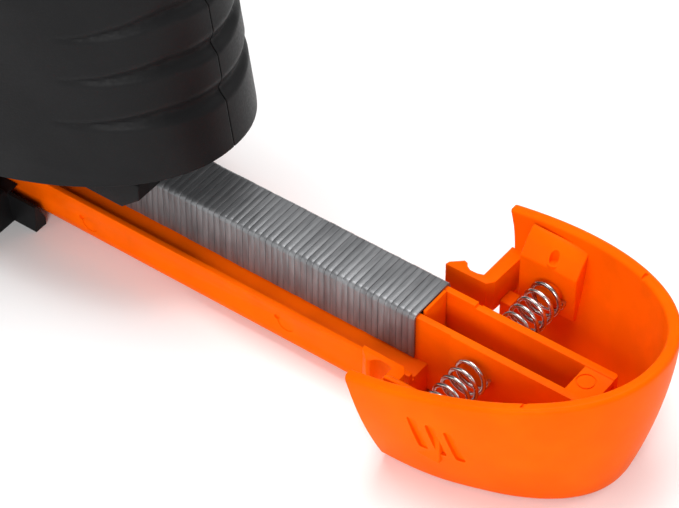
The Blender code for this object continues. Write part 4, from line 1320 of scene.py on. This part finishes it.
def screw(name, axis, cu, cv, top, head, head_r, shank_r, tip, way):
    """A button-head screw with a six-lobed recess; way is the sign of the tip's direction."""
    neck = top + way * head
    profile = [(head_r * 0.55, top), (head_r * 0.84, top + way * 0.16), (head_r, top + way * head * 0.55)]
    profile += [(head_r, neck), (shank_r, neck)]
    # rolled thread: a crest every 0.8 mm
    reach = abs(tip - neck) - 1.2
    turns = int(reach / 0.8)
    for k in range(turns):
        z = neck + way * (0.6 + 0.8 * k)
        profile += [(shank_r * 0.82, z), (shank_r, z + way * 0.3), (shank_r * 0.82, z + way * 0.6)]
    profile += [(shank_r * 0.8, tip - way * 0.8), (shank_r * 0.3, tip)]
    made = faced_out(turned(name, axis, cu, cv, profile, 36))
    lobes = []
    for k in range(48):
        a = 2 * math.pi * k / 48
        r = head_r * (0.46 + 0.07 * math.cos(6 * a))
        lobes.append((cu + r * math.cos(a), cv + r * math.sin(a)))
    return cut(made, prism("recess", lobes, axis, *sorted((top - way * 1.0, top + way * head * 0.75))))


def build_screws():
    for k, (sx, sz) in enumerate(SCREWS):
        name = f"housing_screw_{k + 1}"
        head_y = local_half(sx, sz) - 3.4
        made = screw(name, "y", sx, sz, head_y + 2.0, 2.0, 2.8, 1.3, -12.0, -1)
        dress(made, name + "_fine", look("blackened"), "body", (name,))


def build_drive():
    fine_copy("driver_blade", 0.12, look("ground"), "hammer")
    fine_copy("plunger", 0.5, look("blackened"), "hammer")
    fine_copy("drive_frame", 0.3, look("pressed"), "body")
    fine_copy("bumper", 0.5, look("rubber"), "body")
    fine_copy("drive_cam", 0.3, look("ground"), "cam", 50.0, 0.2)
    roller_z = frame_middle("cam_roller")[2]
    low, high = node_span("cam_roller", 0)
    ring = turned(
        "roller", "x", 0.0, roller_z,
        [(2.5, low), (2.7, low + 0.3), (2.7, high - 0.3), (2.5, high)],
    )
    cut(ring, cylinder("bore", "x", 0.0, roller_z, 1.65, low - 1, high + 1))
    dress(ring, "cam_roller_fine", look("ground"), "hammer", ("cam_roller",))
    rod = [(2.4, 87.0), (2.9, 87.3), (3.2, 88.2), (3.2, 142.0), (7.9, 142.0), (8.2, 142.3), (8.2, 143.0)]
    rod += [(5.2, 143.2), (4.9, 143.5), (4.9, 148.0), (4.6, 148.4)]
    made = turned("rod", "z", 10.3, 0.0, rod)
    step = made.modifiers.new("boolean", "BOOLEAN")
    step.operation = "INTERSECT"
    step.solver = "MANIFOLD"
    keep = box("keep", (5.2, 15.9), (-8.6, 8.6), (0.0, 200.0))
    step.object = keep
    settle(made)
    bpy.data.objects.remove(keep, do_unlink=True)
    dress(made, "spring_rod_fine", look("pressed"), "body", ("spring_rod",))


def frame_middle(node):
    low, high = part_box(node)
    middle = (low + high) / 2 / MM
    return (middle.x + NOSE_X, middle.y, middle.z)


def node_span(node, axis):
    low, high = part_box(node)
    shift = NOSE_X if axis == 0 else 0.0
    return low[axis] / MM + shift, high[axis] / MM + shift


def build_motor():
    profile = [(8.0, 29.0), (8.0, 31.0), (14.0, 31.0), (15.0, 32.0)]
    # the ring gear's outside has a band of grooves between its flanges
    for z in (36.0, 40.0, 44.0):
        profile += [(15.0, z), (14.4, z + 0.3), (14.4, z + 1.7), (15.0, z + 2.0)]
    profile += [(15.0, 49.4), (14.4, 50.0)]
    gearbox = turned("gearbox", "x", 0.0, DRIVE_Z, profile)
    cut(gearbox, cylinder("bore", "x", 0.0, DRIVE_Z, 2.86, 26.0, 36.0))
    for k in range(4):
        a = math.pi / 4 + math.pi / 2 * k
        bolt = cylinder("bolt", "x", 11.0 * math.cos(a), DRIVE_Z + 11.0 * math.sin(a), 1.4, 30.0, 32.2, 24)
        cut(gearbox, bolt)
    dress(gearbox, "gearbox_fine", look("sintered"), "body", ("gearbox",))
    can = [(13.2, 50.3), (14.0, 51.0), (14.0, 79.0), (13.9, 79.2), (13.9, 80.0), (14.0, 80.2)]
    can += [(14.0, 83.0), (13.2, 84.0), (6.0, 84.0), (5.6, 84.6), (4.0, 84.8), (4.0, 86.0)]
    motor = turned("motor", "x", 0.0, DRIVE_Z, can)
    port = prism("port", rounded(56.0, 66.0, 48.0, 52.0, 1.9), "y", -16.0, -13.0)
    cut(motor, port)
    port = prism("port", rounded(56.0, 66.0, 48.0, 52.0, 1.9), "y", 13.0, 16.0)
    cut(motor, port)
    dress(motor, "motor_can", look("can"), "body", ("motor",))


def build_battery():
    for name, y in (("battery_cell_left", -9.3), ("battery_cell_right", 9.3)):
        profile = [(7.9, 88.0), (8.7, 88.1), (9.0, 88.7), (9.0, 90.0), (8.94, 90.4), (8.94, 134.8)]
        profile += [(8.7, 135.2), (8.7, 135.8), (9.0, 136.2), (8.8, 136.9), (7.2, 137.0)]
        cell = turned("cell", "x", y, DRIVE_Z, profile)
        dress(cell, name + "_sleeve", look("sleeve"), "body", (name,))
        end = [(6.9, 136.9), (6.9, 137.1), (3.2, 137.2), (3.0, 137.5), (3.0, 137.9), (2.6, 138.0)]
        pole = turned("pole", "x", y, DRIVE_Z, end, 40)
        dress(pole, name + "_pole", look("tin"), "body")
    board = box("board", (91.0, 131.0), (-16.0, 16.0), (61.4, 63.0))
    for x, y in ((93.5, -13.5), (93.5, 13.5), (128.5, -13.5), (128.5, 13.5)):
        cut(board, cylinder("hole", "z", x, y, 1.2, 60.0, 65.0, 24))
    soften(board, 0.1, 1)
    dress(board, "board_fine", look("board"), "body", ("circuit_board",))
    chip = box("chip", (104.0, 112.0), (-4.0, 4.0), (63.0, 64.6))
    soften(chip, 0.15, 2)
    dress(chip, "board_chip", look("chip"), "body")
    relay = box("relay", (118.0, 127.0), (-12.0, -5.0), (63.0, 67.0))
    soften(relay, 0.25, 2)
    dress(relay, "board_relay", look("chip"), "body")
    leg = box("leg", (105.0, 105.4), (-5.4, -4.0), (63.0, 63.5))
    legs = line_of_copies(leg, "Row of chip legs", 6, (1.2, 0.0, 0.0), "tin")
    dress(legs, "board_legs_left", None, "body")
    leg = box("leg", (105.0, 105.4), (4.0, 5.4), (63.0, 63.5))
    legs = line_of_copies(leg, "Row of chip legs", 6, (1.2, 0.0, 0.0), "tin")
    dress(legs, "board_legs_right", None, "body")


# ---------------------------------------------------------------- controls
def build_controls():
    shape = [(-4.0, 3.5), (3.5, 3.5), (6.0, -4.5), (30.0, -7.5), (30.5, -13.0), (27.0, -17.5)]
    shape += [(20.0, -19.5), (10.0, -18.5), (3.0, -14.0), (-3.5, -8.0)]
    outline = [(TRIGGER_X + x, TRIGGER_Z + z) for x, z in smooth_loop(shape, 3)]
    trigger = prism("trigger", outline, "y", -6.0, 6.0)
    cut(trigger, cylinder("bore", "y", TRIGGER_X, TRIGGER_Z, 1.75, -20.0, 20.0, 32))
    soften(trigger, 0.9, 4, 60.0, 0.1)
    groove = cylinder("rib", "y", TRIGGER_X + 8.0, TRIGGER_Z - 19.4, 0.8, -4.2, 4.2, 20)
    cut(trigger, line_of_copies(groove, "Row of finger ribs", 6, (2.6, 0.0, -0.12)))
    dress(trigger, "trigger_lever", look("orange"), "trigger", ("trigger",), 40.0)
    pin = turned(
        "pin", "y", TRIGGER_X, TRIGGER_Z, [(1.3, -9.0), (1.65, -8.6), (1.65, 8.6), (1.3, 9.0)], 40
    )
    dress(pin, "trigger_pin_fine", look("ground"), "body", ("trigger_pin",))
    fine_copy("trigger_switch", 0.25, look("inner black"), "body")
    lock = box("lock", (LOCK_X - 3.0, LOCK_X + 3.0), (-GRIP_HALF - 2.0, -13.0), (LOCK_Z - 2.0, LOCK_Z + 2.0))
    notch = prism("notch", circle(LOCK_X - 2.0, -GRIP_HALF - 2.3, 0.6, 16), "z", 130.0, 150.0)
    cut(lock, line_of_copies(notch, "Row of thumb notches", 4, (1.33, 0.0, 0.0)))
    soften(lock, 0.2, 2)
    dress(lock, "lock_button", look("orange"), "lock", ("lock_slider",))
    build_dial()
    socket = cylinder("socket", "x", 0.0, SOCKET_Z, 4.4, 140.5, 147.4, 48)
    cut(socket, cylinder("bore", "x", 0.0, SOCKET_Z, 2.8, 142.0, 160.0, 40))
    soften(socket, 0.3, 3)
    dress(socket, "socket_body", look("inner black"), "body", ("charge_socket",))
    pin = turned("pin", "x", 0.0, SOCKET_Z, [(0.8, 141.8), (0.8, 146.2), (0.55, 146.6)], 24)
    dress(pin, "socket_pin", look("tin"), "body")
    lens = box("lens", (2.6, 4.4), (-4.0, 4.0), (LENS_Z, LENS_Z + 6.0))
    soften(lens, 0.5, 3)
    dress(lens, "light_lens", look("lens"), "body", ("work_light_lens",))
    fine_copy("pusher", 0.25, look("orange"), "pusher")


def smooth_loop(points, steps):
    """A closed outline through rounded corners, by cutting each corner steps times."""
    for _ in range(steps):
        made = []
        for k, (x, z) in enumerate(points):
            nx, nz = points[(k + 1) % len(points)]
            made += [(x * 0.8 + nx * 0.2, z * 0.8 + nz * 0.2), (x * 0.2 + nx * 0.8, z * 0.2 + nz * 0.8)]
        points = made
    return points


def build_dial():
    top = TOP_Z + TOP_SLOPE * (SLOPE_X - DIAL_X)
    profile = [(3.0, top - 20.0), (3.0, top - 8.0), (8.0, top - 8.0), (8.0, top + 2.4)]
    profile += [(7.7, top + 3.4), (7.0, top + 3.9), (5.4, top + 3.9), (4.9, top + 3.3), (1.0, top + 3.1)]
    dial = turned("dial", "z", DIAL_X, 0.0, profile, 96)
    cut(dial, box("pointer", (DIAL_X - 0.5, DIAL_X + 0.5), (2.0, 9.0), (top + 2.9, top + 9.0)))
    # flutes round the edge for the finger
    flute = cylinder("flute", "z", DIAL_X, 8.15, 0.55, top + 0.4, top + 8.0, 12)
    tree, start, out = geometry_tree("Ring of dial flutes", (("Count", "Int", 24),))
    ring = add(
        tree,
        "GeometryNodeMeshLine",
        {"mode": "OFFSET"},
        {"Count": start.outputs["Count"], "Offset": (0.0, 0.0, 0.0)},
    )
    index = add(tree, "GeometryNodeInputIndex")
    share = add(
        tree, "ShaderNodeMath", {"operation": "DIVIDE"}, {0: index.outputs[0], 1: start.outputs["Count"]}
    )
    angle = add(
        tree, "ShaderNodeMath", {"operation": "MULTIPLY_ADD"}, {0: share.outputs[0], 1: 6.0213, 2: 0.131}
    )
    turn = add(tree, "ShaderNodeCombineXYZ", links={2: angle.outputs[0]})
    placed = add(
        tree,
        "GeometryNodeInstanceOnPoints",
        links={"Points": ring.outputs[0], "Instance": start.outputs[0]},
    )
    spun = add(
        tree,
        "GeometryNodeRotateInstances",
        links={
            "Instances": placed.outputs[0],
            "Rotation": turn.outputs[0],
            "Pivot Point": tuple(metres(DIAL_X, 0.0, 0.0)),
            "Local Space": False,
        },
    )
    end_tree(tree, out, spun.outputs[0], None)
    cut(dial, run_tree(flute, tree))
    dress(dial, "dial_knob", look("orange"), "dial", ("force_dial",), 30.0)


# ---------------------------------------------------------------- stage
def build_stage():
    values = bpy.context.scene.staple_gun_stage
    floor = box("floor", (-2200.0, 2600.0), (-2400.0, 2400.0), (-2.0, -0.02))
    floor.data.materials.append(look("stage"))
    world = bpy.data.worlds.new("Studio")
    world.use_nodes = True
    back = world.node_tree.nodes["Background"]
    back.inputs["Color"].default_value = linear("#FFFFFF")
    back.inputs["Strength"].default_value = values.fill
    bpy.context.scene.world = world
    for name, place, size, power in (
        ("key_box", (0.5, -0.8, 0.46), 0.34, values.key),
        ("side_box", (-0.35, -0.7, 0.3), 0.6, values.side),
        ("rim_box", (0.75, 0.7, 0.6), 0.5, values.rim),
        ("top_box", (-0.1, 0.15, 1.3), 0.9, values.top),
    ):
        light = bpy.data.lights.new(name, "AREA")
        light.shape = "SQUARE"
        light.size = size
        light.energy = power
        obj = bpy.data.objects.new(name, light)
        obj.location = place
        aim = Vector((0.17, 0.0, 0.02)) - Vector(place)
        obj.rotation_euler = aim.to_track_quat("-Z", "Y").to_euler()
        bpy.context.scene.collection.objects.link(obj)
    lens = bpy.data.cameras.new("camera")
    lens.sensor_width = 36.0
    lens.lens = values.lens
    lens.clip_start = 0.01
    camera = bpy.data.objects.new("camera", lens)
    side, up = Vector((0.8057, 0.5923, 0.0)), Vector((-0.4168, 0.5671, 0.7104))
    ahead = Vector((-0.4208, 0.5724, -0.7038))
    turn = Matrix((side, up, -ahead)).transposed().to_4x4()
    camera.matrix_world = Matrix.Translation(Vector((0.40469, -0.30085, 0.38813))) @ turn
    bpy.context.scene.collection.objects.link(camera)
    bpy.context.scene.camera = camera
    bpy.context.scene.view_settings.view_transform = "Standard"


# ---------------------------------------------------------------- the add-on
class StapleGunSizes(bpy.types.PropertyGroup):
    staple_pitch: FloatProperty(
        name="Staple pitch", description="Length of strip that one staple takes", default=0.00125,
        min=0.0008, max=0.002, unit="LENGTH",
    )
    staple_count: IntProperty(
        name="Staples", description="How many staples lie in the magazine", default=84, min=1, max=84
    )
    wire_width: FloatProperty(
        name="Wire width", description="Width of the flat wire along the strip", default=0.00122,
        min=0.0008, max=0.00125, unit="LENGTH",
    )


class StapleGunColours(bpy.types.PropertyGroup):
    moulding: FloatVectorProperty(
        name="Bright mouldings", description="Colour of the magazine, trigger, lock and dial",
        default=(0.93, 0.355, 0.0), min=0.0, max=1.0, size=3, subtype="COLOR_GAMMA",
    )
    housing: FloatVectorProperty(
        name="Housing", description="Colour of the housing and the strip guide",
        default=(0.1, 0.1, 0.104), min=0.0, max=1.0, size=3, subtype="COLOR_GAMMA",
    )


class StapleGunStage(bpy.types.PropertyGroup):
    lens: FloatProperty(name="Lens", description="Focal length on a 36 mm sensor", default=163.57, min=20.0)
    fill: FloatProperty(
        name="Fill", description="Strength of the light from all round", default=0.42, min=0.0
    )
    key: FloatProperty(
        name="Key", description="Power of the front soft box", default=4.5, min=0.0, unit="POWER"
    )
    side: FloatProperty(
        name="Side", description="Power of the front left box", default=1.6, min=0.0, unit="POWER"
    )
    rim: FloatProperty(
        name="Rim", description="Power of the rear soft box", default=2.0, min=0.0, unit="POWER"
    )
    top: FloatProperty(
        name="Top", description="Power of the overhead soft box", default=15.0, min=0.0, unit="POWER"
    )


class StapleGunHousingBuild(bpy.types.Operator):
    """Two glass-filled nylon shells with grooves, vents and every opening"""

    bl_idname = "staple_gun.build_housing"
    bl_label = "Housing halves"

    def execute(self, context):
        build_housing()
        return {"FINISHED"}


class StapleGunScrewsBuild(bpy.types.Operator):
    """Six screws along the housing, each with its recess"""

    bl_idname = "staple_gun.build_screws"
    bl_label = "Screws"

    def execute(self, context):
        build_screws()
        return {"FINISHED"}


class StapleGunGripCoverBuild(bpy.types.Operator):
    """A soft saddle over the grip"""

    bl_idname = "staple_gun.build_grip_cover"
    bl_label = "Grip cover"

    def execute(self, context):
        build_grip_cover()
        return {"FINISHED"}


class StapleGunGuideBuild(bpy.types.Operator):
    """The channel that steers the strip to the nose"""

    bl_idname = "staple_gun.build_guide"
    bl_label = "Strip guide"

    def execute(self, context):
        build_guide()
        return {"FINISHED"}


class StapleGunNoseBuild(bpy.types.Operator):
    """The strike plate at the nose and its two screws"""

    bl_idname = "staple_gun.build_nose"
    bl_label = "Nose plate"

    def execute(self, context):
        build_nose()
        return {"FINISHED"}


class StapleGunTrayBuild(bpy.types.Operator):
    """The tray and its rail, drawn out of the base"""

    bl_idname = "staple_gun.build_tray"
    bl_label = "Magazine tray"

    def execute(self, context):
        build_tray()
        return {"FINISHED"}


class StapleGunCapBuild(bpy.types.Operator):
    """The squeeze walls, latch arms, spring pads and floor"""

    bl_idname = "staple_gun.build_cap"
    bl_label = "Magazine cap"

    def execute(self, context):
        build_cap()
        return {"FINISHED"}


class StapleGunStaplesBuild(bpy.types.Operator):
    """The strip, one staple bent from flat wire and repeated"""

    bl_idname = "staple_gun.build_staples"
    bl_label = "Staples"

    def execute(self, context):
        build_staples()
        return {"FINISHED"}


class StapleGunSpringsBuild(bpy.types.Operator):
    """Latch, pusher, drive and trigger springs"""

    bl_idname = "staple_gun.build_springs"
    bl_label = "Springs"

    def execute(self, context):
        build_springs()
        return {"FINISHED"}


class StapleGunDriveBuild(bpy.types.Operator):
    """Blade, plunger, cam, roller, spring rod, frame and bumper"""

    bl_idname = "staple_gun.build_drive"
    bl_label = "Drive"

    def execute(self, context):
        build_drive()
        return {"FINISHED"}


class StapleGunMotorBuild(bpy.types.Operator):
    """The motor can and the gearbox on its shaft"""

    bl_idname = "staple_gun.build_motor"
    bl_label = "Motor and gearbox"

    def execute(self, context):
        build_motor()
        return {"FINISHED"}


class StapleGunBatteryBuild(bpy.types.Operator):
    """Two cells and the circuit board with its parts"""

    bl_idname = "staple_gun.build_battery"
    bl_label = "Battery and board"

    def execute(self, context):
        build_battery()
        return {"FINISHED"}


class StapleGunControlsBuild(bpy.types.Operator):
    """Trigger, pin, switch, lock, dial, socket, lens and pusher"""

    bl_idname = "staple_gun.build_controls"
    bl_label = "Controls"

    def execute(self, context):
        build_controls()
        return {"FINISHED"}


class StapleGunStageBuild(bpy.types.Operator):
    """Floor, soft lights and camera"""

    bl_idname = "staple_gun.build_stage"
    bl_label = "Stage"

    def execute(self, context):
        build_stage()
        return {"FINISHED"}


OPERATORS = (
    StapleGunHousingBuild,
    StapleGunScrewsBuild,
    StapleGunGripCoverBuild,
    StapleGunGuideBuild,
    StapleGunNoseBuild,
    StapleGunTrayBuild,
    StapleGunCapBuild,
    StapleGunStaplesBuild,
    StapleGunSpringsBuild,
    StapleGunDriveBuild,
    StapleGunMotorBuild,
    StapleGunBatteryBuild,
    StapleGunControlsBuild,
    StapleGunStageBuild,
)


class StapleGunPanel(bpy.types.Panel):
    bl_idname = "VIEW3D_PT_staple_gun"
    bl_label = "Staple gun"
    bl_space_type = "VIEW_3D"
    bl_region_type = "UI"
    bl_category = "Staple gun"

    def draw(self, context):
        scene = context.scene
        for group in (scene.staple_gun_sizes, scene.staple_gun_colours, scene.staple_gun_stage):
            for key in group.bl_rna.properties.keys():
                if key not in ("rna_type", "name"):
                    self.layout.prop(group, key)
        for operator in OPERATORS:
            self.layout.operator(operator.bl_idname)


CLASSES = (StapleGunSizes, StapleGunColours, StapleGunStage, *OPERATORS, StapleGunPanel)


def register():
    for made in CLASSES:
        bpy.utils.register_class(made)
    bpy.types.Scene.staple_gun_sizes = PointerProperty(type=StapleGunSizes)
    bpy.types.Scene.staple_gun_colours = PointerProperty(type=StapleGunColours)
    bpy.types.Scene.staple_gun_stage = PointerProperty(type=StapleGunStage)


def unregister():
    del bpy.types.Scene.staple_gun_stage
    del bpy.types.Scene.staple_gun_colours
    del bpy.types.Scene.staple_gun_sizes
    for made in reversed(CLASSES):
        bpy.utils.unregister_class(made)


def main():
    register()
    for operator in OPERATORS:
        group, name = operator.bl_idname.split(".")
        getattr(getattr(bpy.ops, group), name)()


if __name__ == "__main__":
    main()
